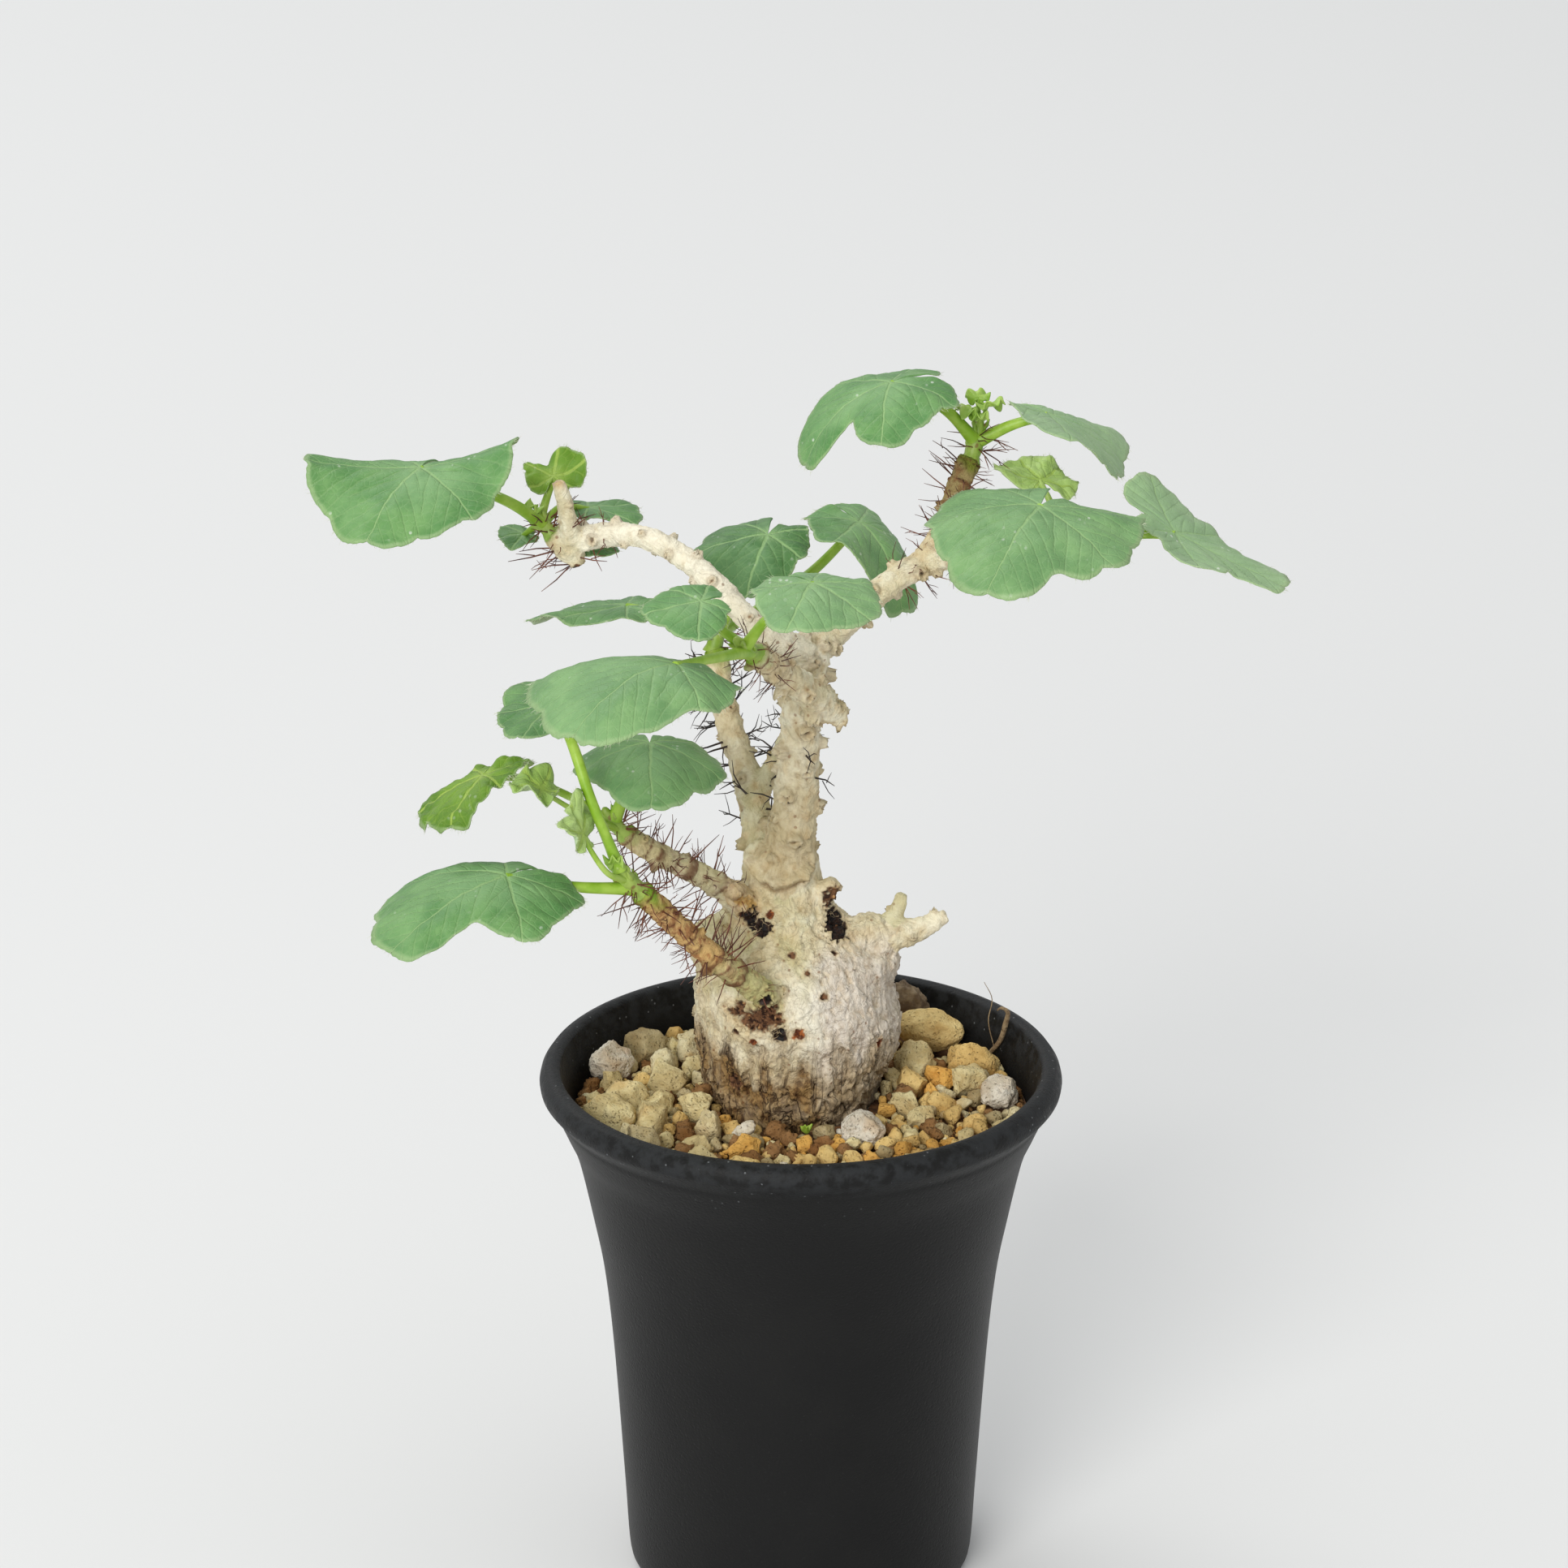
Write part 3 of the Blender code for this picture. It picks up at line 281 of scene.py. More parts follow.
# Marks on the bark: middle, radius, depth, kind
MARKS = (
    ((5.6, 2.0, 123.6), 2.2, 0.4, "rust"),
    ((5.9, 3.0, 121.8), 1.3, 0.4, "char"),
    ((5.9, 3.4, 119.9), 2.1, 0.5, "char"),
    ((5.8, 0.8, 118.2), 2.3, 0.5, "char"),
    ((-8.6, -0.3, 121.3), 1.6, 0.4, "char"),
    ((-6.7, -1.9, 119.8), 1.9, 0.5, "char"),
    ((-5.2, -1.7, 121.9), 0.8, 0.1, "ember"),
    ((-9.6, -0.4, 122.7), 1.2, 0.2, "rust"),
    ((-11.3, -7.3, 106.2), 2.0, 0.2, "twig_tan_and_shade"),
    ((-11.5, -7.2, 106.6), 1.0, 0.3, "rust"),
    ((-11.6, -3.4, 128.0), 0.75, 0.5, "rust"),
    ((-10.4, -2.0, 125.0), 1.5, 0.3, "tan"),
    ((-8.4, -1.2, 123.8), 1.2, 0.2, "tan"),
    ((-10.2, -8.2, 107.2), 1.4, 0.3, "rust"),
    ((-8.6, -9.3, 105.6), 1.7, 0.3, "rust"),
    ((-7.0, -10.2, 106.0), 2.4, 0.6, "rust"),
    ((-5.6, -11.0, 107.6), 2.2, 0.4, "rust"),
    ((-4.2, -10.9, 106.6), 1.3, 0.2, "rust"),
    ((-5.9, -12.1, 110.4), 1.2, 0.7, "char"),
    ((-3.6, -11.2, 103.9), 1.4, 0.4, "char"),
    ((-0.4, -11.3, 103.9), 0.9, 0.1, "ember"),
    ((13.5, -4.9, 99.4), 1.0, 0.2, "ember"),
    ((-8.0, -9.7, 102.2), 0.7, 0.1, "ember"),
    ((-10.8, -8.0, 103.3), 0.8, 0.1, "rust"),
    ((-11.0, -5.3, 92.6), 1.8, 0.4, "rust"),
    ((1.0, -6.8, 113.2), 0.6, 0.3, "rust"),
    ((3.9, -8.3, 109.7), 0.7, 0.3, "rust"),
    ((-1.7, -5.3, 115.9), 0.7, 0.3, "rust"),
    ((5.7, -3.2, 115.5), 0.6, 0.2, "rust"),
    ((-40.9, 5.2, 197.2), 0.8, 0.0, "ember"),
    ((8.2, -3.4, 157.6), 2.0, 1.4, "twig_tan_and_shade"),
    ((6.4, -5.2, 162.4), 1.6, 0.9, "twig_tan_and_shade"),
    ((4.0, -4.5, 157.0), 1.8, 0.8, "twig_tan_and_shade"),
    ((-37.4, 9.2, 180.2), 1.4, 0.1, "rust"),
)

# Bristles: branch, from, to, how many nodes, tufts at a node, length from, length to
RED_TUFTS = (
    ("low_front", 0.46, 1.0, 9, 12, 2.8, 7.2),
    ("low_front", 0.25, 0.44, 2, 5, 1.6, 3.0),
    ("low_back", 0.32, 1.0, 8, 11, 2.4, 6.2),
    ("right", 0.66, 1.0, 7, 13, 2.4, 5.6),
    ("right", 0.44, 0.64, 3, 8, 2.0, 4.4),
    ("right_side", 0.15, 1.0, 5, 9, 2.0, 4.6),
    ("west_knee", 0.10, 1.0, 3, 9, 2.6, 8.4),
    ("west", 0.86, 1.0, 2, 5, 2.4, 5.0),
    ("front", 0.66, 1.0, 3, 8, 2.2, 4.8),
    ("cut_stub", 0.30, 0.90, 2, 3, 2.0, 4.0),
    ("bud_right", 0.05, 0.8, 2, 12, 3.2, 6.4),
    ("bud_low_front", 0.05, 0.6, 2, 10, 3.2, 6.6),
    ("bud_low_back", 0.05, 0.6, 2, 8, 3.0, 5.6),
    ("bud_west", 0.05, 0.8, 2, 9, 3.2, 7.0),
    ("bud_right_side", 0.05, 0.6, 1, 8, 2.6, 4.6),
    ("bud_front", 0.05, 0.6, 1, 8, 3.0, 5.0),
    ("bud_back", 0.05, 0.8, 2, 8, 3.2, 6.4),
)
DARK_TUFTS = (
    ("back_stem", 0.24, 1.0, 9, 4, 3.4, 7.6),
    ("back_twig", 0.45, 1.0, 2, 4, 3.4, 6.8),
    ("trunk", 0.30, 0.85, 5, 1, 2.4, 4.4),
)
# Kinds of bristle: name, its tufts, most side arms, thickness, and its dark and light colour
BRISTLES = (
    ("bristles_red", RED_TUFTS, 1, 2.6, (0.060, 0.014, 0.010), (0.20, 0.060, 0.030)),
    ("bristles_dark", DARK_TUFTS, 3, 4.2, (0.012, 0.010, 0.012), (0.05, 0.03, 0.025)),
)
TUFT_SEED = 3
TUFT_SUNK = 0.4
TUFT_CLEAR = 0.35
TUFT_TRIES = 8

# Buds: the green growing tips, as points of (x, y, z, radius)
BUDS = {
    "bud_west": ((-42.5, 10.1, 186.9, 1.7), (-43.4, 10.3, 188.1, 1.7), (-44.3, 10.6, 189.6, 0.9)),
    "bud_right": ((28.9, 20.7, 196.8, 1.9), (29.6, 21.6, 199.0, 1.9), (30.3, 22.6, 202.0, 1.0)),
    "bud_right_side": ((42.0, 6.6, 186.0, 1.8), (43.8, 5.6, 186.5, 1.9), (46.0, 4.4, 187.4, 1.0)),
    "bud_front": ((-7.9, -26.6, 177.9, 1.9), (-9.3, -29.4, 179.8, 1.9), (-10.5, -31.8, 181.8, 1.0)),
    "bud_back": ((-14.8, 22.3, 162.2, 1.9), (-14.3, 22.8, 164.2, 1.8), (-13.4, 23.4, 166.6, 0.9)),
    "bud_low_front": ((-27.1, -25.3, 136.1, 1.9), (-28.8, -26.6, 138.3, 2.0), (-30.4, -27.8, 140.8, 1.1)),
    "bud_low_back": ((-30.3, -7.8, 139.7, 1.7), (-31.6, -8.2, 141.4, 1.8), (-32.8, -8.4, 143.4, 1.0)),
}
BUD_SLIM = 0.72
BUD_SCALES = 7
BUD_SEED = 17
# Tiny folded leaves over a bud: hub, facing and reach
TIP_LEAVES = {
    "bud_right": (
        ((28.6, 21.0, 205.0), (170, 20, 10), 2.6), ((31.6, 21.6, 205.6), (-20, 25, -10), 2.8),
        ((29.8, 23.6, 206.2), (80, 35, 0), 2.2), ((30.0, 20.6, 204.0), (-100, 30, 5), 1.8),
    ),
    "bud_west": (((-44.6, 9.4, 191.2), (-150, 40, 0), 1.8),),
    "bud_low_front": (((-31.0, -28.6, 142.2), (-80, 50, 0), 1.6),),
}

# Leaves
BLADE_THICK = 0.34
BLADE_OPEN = 171  # the blade runs this many degrees to each side of the middle vein
VEIN_SPREAD = 63  # degrees between one main vein and the next
SINUS = 0.06
TOOTH = 0.035
FINE_TOOTH = 0.16
TOOTH_PITCH = 1.5
SIDE_VEIN_PITCH = 3.3
SIDE_VEIN_LEAN = 1.15  # how far a side vein runs out along the main one for each millimetre across
LARGE_LEAF = 9
BLADE_GRID = {True: (19, 192), False: (13, 96)}  # rings and steps of a large leaf and of a small one
SOCKET = 0.5
# How a grown blade and a young one are crimped: added ripple, fineness and height
CRIMPS = {False: (0.0, 0.32, 0.6), True: (0.35, 0.55, 1.3)}
HAIR_SEED = 9


class Leaf(NamedTuple):
    """A leaf: its stalk, and a blade that hangs from five main veins meeting at the hub."""

    bud: str
    hub: tuple
    facing: tuple  # compass heading, rise and roll of the middle vein, in degrees
    veins: tuple  # lengths, from the right base lobe round to the left base lobe
    droop: tuple  # how sharply each vein bends down, as 1 / metre
    via: tuple = ()  # points that the stalk passes
    ripple: tuple = (0.4, 0)  # height of the waves in the edge, and their phase in degrees
    bites: tuple = ()  # notches in the edge: (angle, width, depth)
    stalk: float = 0.9  # radius
    foot: float = 0.5  # where on its bud the stalk starts


LEAVES = {
    "leaf_west_big": Leaf(
        "bud_west", hub=(-62.9, -4.0, 202.3), facing=(-119, -6, 2), veins=(15, 19, 20, 17, 16),
        droop=(36, 0, 38, 36, 4), via=((-50.1, 2.5, 195.0),), ripple=(0.7, -20),
    ),
    "leaf_west_up": Leaf(
        "bud_west", hub=(-41.6, 13.5, 195.3), facing=(81, 32, -5), veins=(4.5, 5.8, 5.4, 6.0, 4.8),
        droop=(-3, 0, 16, 15, 7), ripple=(0.2, -10), stalk=0.6, foot=0.9,
    ),
    "leaf_west_back": Leaf(
        "bud_west", hub=(-36.0, 18.0, 188.4), facing=(31, -4, -3), veins=(5.4, 10, 8.7, 8.8, 5.3),
        droop=(35, 28, 5, 30, 26), via=((-40.2, 14.8, 189.6),), ripple=(0.2, -100), stalk=0.6,
    ),
    "leaf_west_low": Leaf(
        "bud_west", hub=(-47.0, 14.0, 184.9), facing=(191, 2, -4), veins=(3.2, 5.4, 4.0, 5.8, 3.3),
        droop=(47, 12, 33, 36, 25), ripple=(0.2, 176), stalk=0.5,
    ),
    "leaf_west_under": Leaf(
        "bud_west", hub=(-36.2, 15.5, 182.4), facing=(-20, -6, 2), veins=(3.4, 4.4, 5.6, 5.0, 4.4),
        droop=(20, 0, 0, 5, 20), via=((-40.8, 14.4, 184.6),), ripple=(0.2, 0), stalk=0.5, foot=0.1,
    ),
    "leaf_back_left": Leaf(
        "bud_back", hub=(-5.7, 22.0, 182.2), facing=(-107, -16, -5), veins=(12.9, 12.7, 14.2, 8.1, 7.3),
        droop=(69, 31, 53, 43, 34), ripple=(0.6, -54),
    ),
    "leaf_back_right": Leaf(
        "bud_back", hub=(10.1, 34.0, 180.5), facing=(-49, -16, -13), veins=(9.4, 14.2, 19.8, 15.7, 14.3),
        droop=(42, 1, 52, 69, 26), via=((-9.5, 29.0, 165.0), (1.5, 34.5, 171.0)), ripple=(0.7, -80),
    ),
    "leaf_back_low": Leaf(
        "bud_back", hub=(-30.1, 28.0, 167.5), facing=(210, -2, 7), veins=(11.3, 19.8, 13.8, 9.4, 9.5),
        droop=(32, 10, 2, 8, 14), ripple=(0.6, 54),
    ),
    "leaf_front_small": Leaf(
        "bud_front", hub=(-16.2, -40.0, 191.3), facing=(206, -1, -9), veins=(6.7, 6.6, 10.1, 11.0, 5.3),
        droop=(20, 13, 16, 26, 27), via=((-13.8, -31.6, 184.4),), ripple=(0.1, 0), stalk=0.7, foot=0.7,
    ),
    "leaf_front_right": Leaf(
        "bud_front", hub=(1.7, -48.0, 197.0), facing=(-44, -4, 0), veins=(9.8, 14.5, 13.1, 10.1, 11.1),
        droop=(27, 30, 31, 25, 49), via=((-5.4, -34.0, 186.4),), ripple=(0.2, -50), stalk=0.8, foot=0.6,
    ),
    "leaf_front_big": Leaf(
        "bud_front", hub=(-20.1, -50.0, 184.2), facing=(228, 12, -3), veins=(15.4, 25, 25.8, 14.5, 11.1),
        droop=(42, 31, 40, 44, 36), via=((-12.4, -37.0, 181.0),), ripple=(0.7, -8), foot=0.25,
    ),
    "leaf_left_mid": Leaf(
        "bud_low_front", hub=(-40.8, -16.0, 165.5), facing=(182, -8, -4),
        veins=(5.2, 12.5, 9.8, 12.3, 6.9), droop=(10, 18, 27, 10, 20),
        via=((-31.9, -28, 145.8), (-34.8, -27.6, 153.4), (-37.6, -24, 161.0)), ripple=(0.3, -38),
        foot=0.85,
    ),
    "leaf_left_center": Leaf(
        "bud_low_back", hub=(-25.3, -10.0, 156.2), facing=(-87, 0, -3),
        veins=(12.8, 13.8, 18.9, 14.3, 12.1), droop=(64, 38, 31, 42, 48), ripple=(0.3, -98),
    ),
    "leaf_young_big": Leaf(
        "bud_low_back", hub=(-53.0, -14.0, 151.9), facing=(-121, -14, 17),
        veins=(8.9, 13.5, 13.4, 5.8, 8.4), droop=(59, 34, 33, 22, 16),
        via=((-38.4, -9.4, 146.2), (-46.4, -10.0, 149.8)), ripple=(0.2, 78), stalk=0.7, foot=0.4,
    ),
    "leaf_young_mid": Leaf(
        "bud_low_back", hub=(-43.1, -20.5, 152.1), facing=(140, 25, 11), veins=(3.1, 5.9, 4.7, 6.0, 5.4),
        droop=(-7, -2, 0, 7, -11), via=((-36.4, -16.0, 145.6),), ripple=(0.3, 30), stalk=0.5, foot=0.15,
    ),
    "leaf_young_low": Leaf(
        "bud_low_front", hub=(-35.9, -32.5, 148.8), facing=(179, 74, -15),
        veins=(4.9, 7.7, 5.7, 7.1, 3.6), droop=(31, 23, 26, 20, 11), via=((-32.2, -31.8, 141.8),),
        ripple=(0.3, -172), stalk=0.5, foot=0.35,
    ),
    "leaf_low_left": Leaf(
        "bud_low_front", hub=(-48.4, -34.0, 141.9), facing=(220, -2, -6),
        veins=(14, 23.8, 25.3, 16.4, 13.4), droop=(55, 35, 24, 25, 34), via=((-37.4, -30.2, 138.4),),
        ripple=(0.3, 98), bites=((32, 15, 0.3),), foot=0.15,
    ),
    "leaf_top_big": Leaf(
        "bud_right", hub=(14.9, 14.0, 211.6), facing=(197, -11, 3), veins=(14, 13.2, 21.4, 17.1, 13.1),
        droop=(33, 17, 50, 42, 45), via=((23.6, 18.5, 206.0),), ripple=(0.4, 62), bites=((32, 14, 0.35),),
    ),
    "leaf_top_right": Leaf(
        "bud_right", hub=(41.7, 20.0, 204.3), facing=(-18, -15, -12), veins=(8.4, 17.3, 16.7, 19.0, 8.4),
        droop=(-2, 5, 50, 9, 21), ripple=(0.4, 44),
    ),
    "leaf_right_light": Leaf(
        "bud_right_side", hub=(40.8, 24.0, 191.3), facing=(123, 19, 3), veins=(6.5, 7.3, 7.7, 8.1, 4.1),
        droop=(13, 30, 4, 0, 11), ripple=(0.2, -50), stalk=0.6,
    ),
    "leaf_right_front": Leaf(
        "bud_right_side", hub=(38.9, -14.0, 198.9), facing=(-112, -2, -9),
        veins=(18.3, 19.1, 24.3, 18.9, 18), droop=(31, 33, 31, 21, 12), ripple=(0.6, -53),
        bites=((33, 10, 0.12),),
    ),
    "leaf_right_far": Leaf(
        "bud_right_side", hub=(62.4, 2.0, 189.0), facing=(-19, -23, -4),
        veins=(9.3, 19.1, 20.8, 12.4, 16.4), droop=(-14, -14, -3, 11, -17), via=((55.6, 3.4, 188.4),),
        ripple=(0.5, -84), bites=((-32, 14, 0.3), (-95, 14, 0.3)),
    ),
}
YOUNG = ("leaf_west_up", "leaf_young_big", "leaf_young_mid", "leaf_young_low", "leaf_right_light")
# How much deeper some leaves' green is. Those under 0 are paler.
# leaf_right_light is paler partly as a young leaf and partly as painted light, for the light that shines
# through it.
DEEPER = {
    "leaf_left_center": -0.08, "leaf_back_left": 0.80, "leaf_back_right": -0.05, "leaf_west_back": 0.45,
    "leaf_left_mid": 0.25, "leaf_back_low": 0.2, "leaf_west_low": 0.3, "leaf_front_big": -0.12,
    "leaf_right_front": -0.12, "leaf_front_right": -0.18, "leaf_top_right": -0.45,
    "leaf_right_far": -0.45, "leaf_right_light": -0.80, "leaf_young_low": -0.90, "leaf_young_mid": -0.45,
    "leaf_young_big": 0.50,
}

# How some blades are lifted or lowered: (angle to the middle vein, width in degrees, height at the edge)
FOLDS = {
    "leaf_west_big": ((114, 26, 3.7), (-72, 28, 2.6), (168, 20, -3.6), (-150, 28, -3.0)),
    "leaf_right_front": ((150, 24, -2.8), (108, 18, 1.2)),
    "leaf_left_mid": ((-60, 30, 1.0),),
    "leaf_back_low": ((-66, 14, -3.4), (15, 30, 0.4)),
    "leaf_west_up": ((-30, 22, 1.6), (30, 18, -1.4), (95, 22, 1.6), (-95, 22, -1.2)),
    "leaf_young_mid": ((-40, 25, 1.4), (40, 25, -1.2), (110, 25, 1.4)),
    "leaf_young_low": ((-30, 20, 1.2), (20, 18, -1.2), (80, 22, 1.4)),
    "leaf_right_light": ((-40, 20, 1.2), (10, 18, -1.4), (60, 22, 1.2)),
}


class Wiring:
    """Short calls that add nodes to a tree and link them. A plain colour is given as red, green and blue."""

    def __init__(self, tree):
        self.tree = tree

    def feed(self, socket, value):
        """Links a socket to another one, or sets it to a plain value."""
        if isinstance(value, bpy.types.NodeSocket):
            self.tree.links.new(value, socket)
        elif value is not None:
            socket.default_value = value

    def add(self, kind, inputs=None, **settings):
        node = self.tree.nodes.new(kind)
        for key, value in settings.items():
            setattr(node, key, value)
        for key, value in (inputs or {}).items():
            self.feed(node.inputs[key], value)
        return node

    def math(self, operation, *values):
        node = self.add("ShaderNodeMath", operation=operation)
        for socket, value in zip(node.inputs, values):
            self.feed(socket, value)
        return node.outputs[0]

    def times(self, one, two):
        return self.math("MULTIPLY", one, two)

    def plus(self, one, two):
        return self.math("ADD", one, two)

    def minus(self, one, two):
        return self.math("SUBTRACT", one, two)

    def ease(self, value, low, high, start=0.0, end=1.0):
        """The value eased from start, where it is low, to end, where it is high."""
        inputs = {"Value": value, "From Min": low, "From Max": high, "To Min": start, "To Max": end}
        return self.add("ShaderNodeMapRange", inputs, interpolation_type="SMOOTHSTEP").outputs[0]

    def crease(self, value, width):
        """1 where the value passes the middle of its range, falling to 0 this far from it."""
        return self.ease(self.math("ABSOLUTE", self.minus(value, 0.5)), width, 0.0)

    def mix(self, factor, one, two, blend="MIX"):
        node = self.add("ShaderNodeMix", data_type="RGBA", blend_type=blend)
        for index, value in ((0, factor), (6, one), (7, two)):
            self.feed(node.inputs[index], (*value, 1) if isinstance(value, tuple) else value)
        return node.outputs[2]

    def over(self, colour, coat, mask, strength):
        """The colour with a coat on it where the mask is, at most this strong."""
        return self.mix(self.times(mask, strength), colour, coat)

    def tinted(self, colour, tint):
        """The colour multiplied by a tint."""
        return self.mix(1.0, colour, tint, "MULTIPLY")

    def noise(self, place, scale, detail=3.0, rough=0.55, bend=0.0):
        """Cloudy noise with this many features to the metre, or to the unit of the place."""
        inputs = {"Vector": place, "Scale": scale, "Detail": detail, "Roughness": rough, "Distortion": bend}
        return self.add("ShaderNodeTexNoise", inputs).outputs[0]

    def cells(self, place, scale, feature="F1"):
        return self.add("ShaderNodeTexVoronoi", {"Vector": place, "Scale": scale}, feature=feature).outputs

    def squeezed(self, place, sizes):
        """The place scaled by three factors, for streaks."""
        return self.add("ShaderNodeMapping", {"Vector": place, "Scale": sizes}).outputs[0]


class Skin(Wiring):
    """A material in the making, wired from the place on its piece."""

    def __init__(self, name, roughness, shine=0.5):
        self.material = bpy.data.materials.new(name)
        self.material.use_nodes = True
        super().__init__(self.material.node_tree)
        self.shader = self.tree.nodes["Principled BSDF"].inputs
        self.shader["Roughness"].default_value = roughness
        self.shader["Specular IOR Level"].default_value = shine
        self.place = self.add("ShaderNodeTexCoord").outputs["Object"]

    def group(self, name, inputs):
        """The outputs of a placed node group."""
        return self.add("ShaderNodeGroup", inputs, node_tree=bpy.data.node_groups[name]).outputs

    def mottle(self, size, low=0.35, high=0.65, place=None):
        """Soft blotches of this size in millimetres."""
        inputs = {"Vector": place or self.place, "Size": size, "Low": low, "High": high}
        return self.group("mottle", inputs)[0]

    def speckle(self, size, share, place=None):
        """Specks in a share of the cells of this size in millimetres."""
        return self.group("speckle", {"Vector": place or self.place, "Size": size, "Share": share})[0]

    def grain(self, size, pits):
        """Height of a fine grain of this size in millimetres."""
        return self.group("grain", {"Vector": self.place, "Size": size, "Pits": pits})[0]

    def attribute(self, name):
        return self.add("ShaderNodeAttribute", attribute_name=name).outputs["Fac"]

    def steps(self, value, stops):
        """The colour of the stop that the value has reached, with no easing between stops."""
        node = self.add("ShaderNodeValToRGB", {"Fac": value})
        ramp = node.color_ramp
        ramp.interpolation = "CONSTANT"
        while len(ramp.elements) < len(stops):
            ramp.elements.new(0.5)
        for element, (reached, colour) in zip(ramp.elements, stops):
            element.position = reached
            element.color = (*colour, 1)
        return node.outputs[0]

    def bump(self, height, depth, strength=1.0):
        """Gives the skin a bump of this depth in millimetres."""
        inputs = {"Height": height, "Distance": depth * MM, "Strength": strength}
        self.feed(self.shader["Normal"], self.add("ShaderNodeBump", inputs).outputs["Normal"])

    def finish(self, colour, roughness=None):
        """Paints the skin, and gives back its material."""
        self.feed(self.shader["Base Color"], colour)
        self.feed(self.shader["Roughness"], roughness)
        return self.material


def shader_group(name, inputs, outputs):
    """A new shader node group with float or vector inputs and float outputs."""
    tree = bpy.data.node_groups.new(name, "ShaderNodeTree")
    for label, default in inputs.items():
        kind = "NodeSocketVector" if default is None else "NodeSocketFloat"
        socket = tree.interface.new_socket(name=label, in_out="INPUT", socket_type=kind)
        if default is not None:
            socket.default_value = default
    for label in outputs:
        tree.interface.new_socket(name=label, in_out="OUTPUT", socket_type="NodeSocketFloat")
    w = Wiring(tree)
    return w, w.add("NodeGroupInput").outputs, w.add("NodeGroupOutput").inputs


def speckle_group():
    """Specks: a share of the cells of this size (mm) holds one."""
    w, given, result = shader_group("speckle", {"Vector": None, "Size": 1.0, "Share": 0.3}, ["Mask"])
    cells = w.cells(given["Vector"], w.math("DIVIDE", 1 / MM, given["Size"]))
    chance = w.add("ShaderNodeSeparateColor", {"Color": cells["Color"]}).outputs[0]
    chosen = w.math("LESS_THAN", chance, given["Share"])
    w.feed(result["Mask"], w.times(chosen, w.ease(cells["Distance"], 0.40, 0.20)))


def mottle_group():
    """Soft blotches of this size (mm), from 0 where the noise is under Low to 1 over High."""
    inputs = {"Vector": None, "Size": 5.0, "Low": 0.4, "High": 0.6}
    w, given, result = shader_group("mottle", inputs, ["Value"])
    fuzz = w.noise(given["Vector"], w.math("DIVIDE", 1 / MM, given["Size"]), 4.0)
    w.feed(result["Value"], w.ease(fuzz, given["Low"], given["High"]))


def grain_group():
    """Height of a fine grain with shallow pits, for a moulded or a mineral surface."""
    w, given, result = shader_group("grain", {"Vector": None, "Size": 0.4, "Pits": 0.3}, ["Height"])
    scale = w.math("DIVIDE", 1 / MM, given["Size"])
    fine = w.noise(given["Vector"], scale, 4.0, 0.6)
    pits = w.ease(w.cells(given["Vector"], w.times(scale, 0.5))["Distance"], 0.05, 0.35)
    w.feed(result["Height"], w.plus(fine, w.times(pits, given["Pits"])))


def veins_group():
    """Masks of a leaf's veins, from its flat map in millimetres with the hub at the origin."""
    inputs = {"Vector": None, "Width": 0.42, "Pitch": SIDE_VEIN_PITCH}
    w, given, result = shader_group("veins", inputs, ["Main", "Side", "Net", "Hub"])
    flat = given["Vector"]
    parts = w.add("ShaderNodeSeparateXYZ", {"Vector": flat}).outputs
    out = w.add("ShaderNodeVectorMath", {0: flat}, operation="LENGTH").outputs["Value"]

    # The nearest main vein, and where the place lies along it and across it
    spread = math.radians(VEIN_SPREAD)
    turn = w.math("ARCTAN2", parts[1], parts[0])
    count = w.math("ROUND", w.math("DIVIDE", turn, spread))
    nearest = w.math("MINIMUM", w.math("MAXIMUM", count, -2.0), 2.0)
    off = w.minus(turn, w.times(nearest, spread))
    wobble = w.times(w.minus(w.noise(flat, 0.16, 2.0), 0.5), 1.3)
    forth = w.times(out, w.math("COSINE", off))
    across = w.plus(w.times(out, w.math("SINE", off)), wobble)
    side = w.math("ABSOLUTE", across)
    width = w.math("MAXIMUM", w.minus(given["Width"], w.times(out, 0.012)), 0.12)
    w.feed(result["Main"], w.ease(w.math("DIVIDE", side, width), 1.0, 0.35))

    # Side veins leave the main one at a steady pitch, by turns to its left and its right
    half_pitch = w.times(given["Pitch"], 0.5)
    shift = w.times(w.math("GREATER_THAN", across, 0.0), half_pitch)
    leave = w.plus(w.minus(forth, w.times(side, SIDE_VEIN_LEAN)), shift)
    rib = w.math("PINGPONG", leave, half_pitch)
    w.feed(result["Side"], w.times(w.ease(rib, 0.36, 0.08), w.ease(leave, 1.0, 2.4)))
    net = w.cells(flat, 0.75, "DISTANCE_TO_EDGE")["Distance"]
    w.feed(result["Net"], w.ease(net, 0.10, 0.02))
    w.feed(result["Hub"], w.ease(out, 3.0, 0.4))


def black_plastic():
    """The pot's plastic: near black, dusty and specked towards the rim."""
    skin = Skin("black_plastic", 0.5, shine=0.17)
    height = skin.add("ShaderNodeSeparateXYZ", {"Vector": skin.place}).outputs[2]
    rim = skin.times(skin.ease(height, 0.086, 0.0925), skin.ease(height, 0.080, 0.090, 0.3, 1.0))
    dust = skin.times(skin.mottle(2.2, 0.38, 0.62), rim)
    specks = skin.times(skin.speckle(0.55, 0.02), skin.ease(height, 0.080, 0.092, 0.03, 1.0))
    cloud = skin.mottle(14.0, 0.42, 0.66)
    colour = skin.over((0.0070, 0.0070, 0.0070), (0.0100, 0.0100, 0.0095), cloud, 0.4)
    colour = skin.over(colour, (0.038, 0.041, 0.044), dust, 0.45)
    colour = skin.over(colour, (0.20, 0.21, 0.22), specks, 0.6)
    skin.bump(skin.grain(0.5, 0.35), 0.17, 0.7)
    return skin.finish(colour, skin.ease(dust, 0.0, 1.0, 0.46, 0.62))


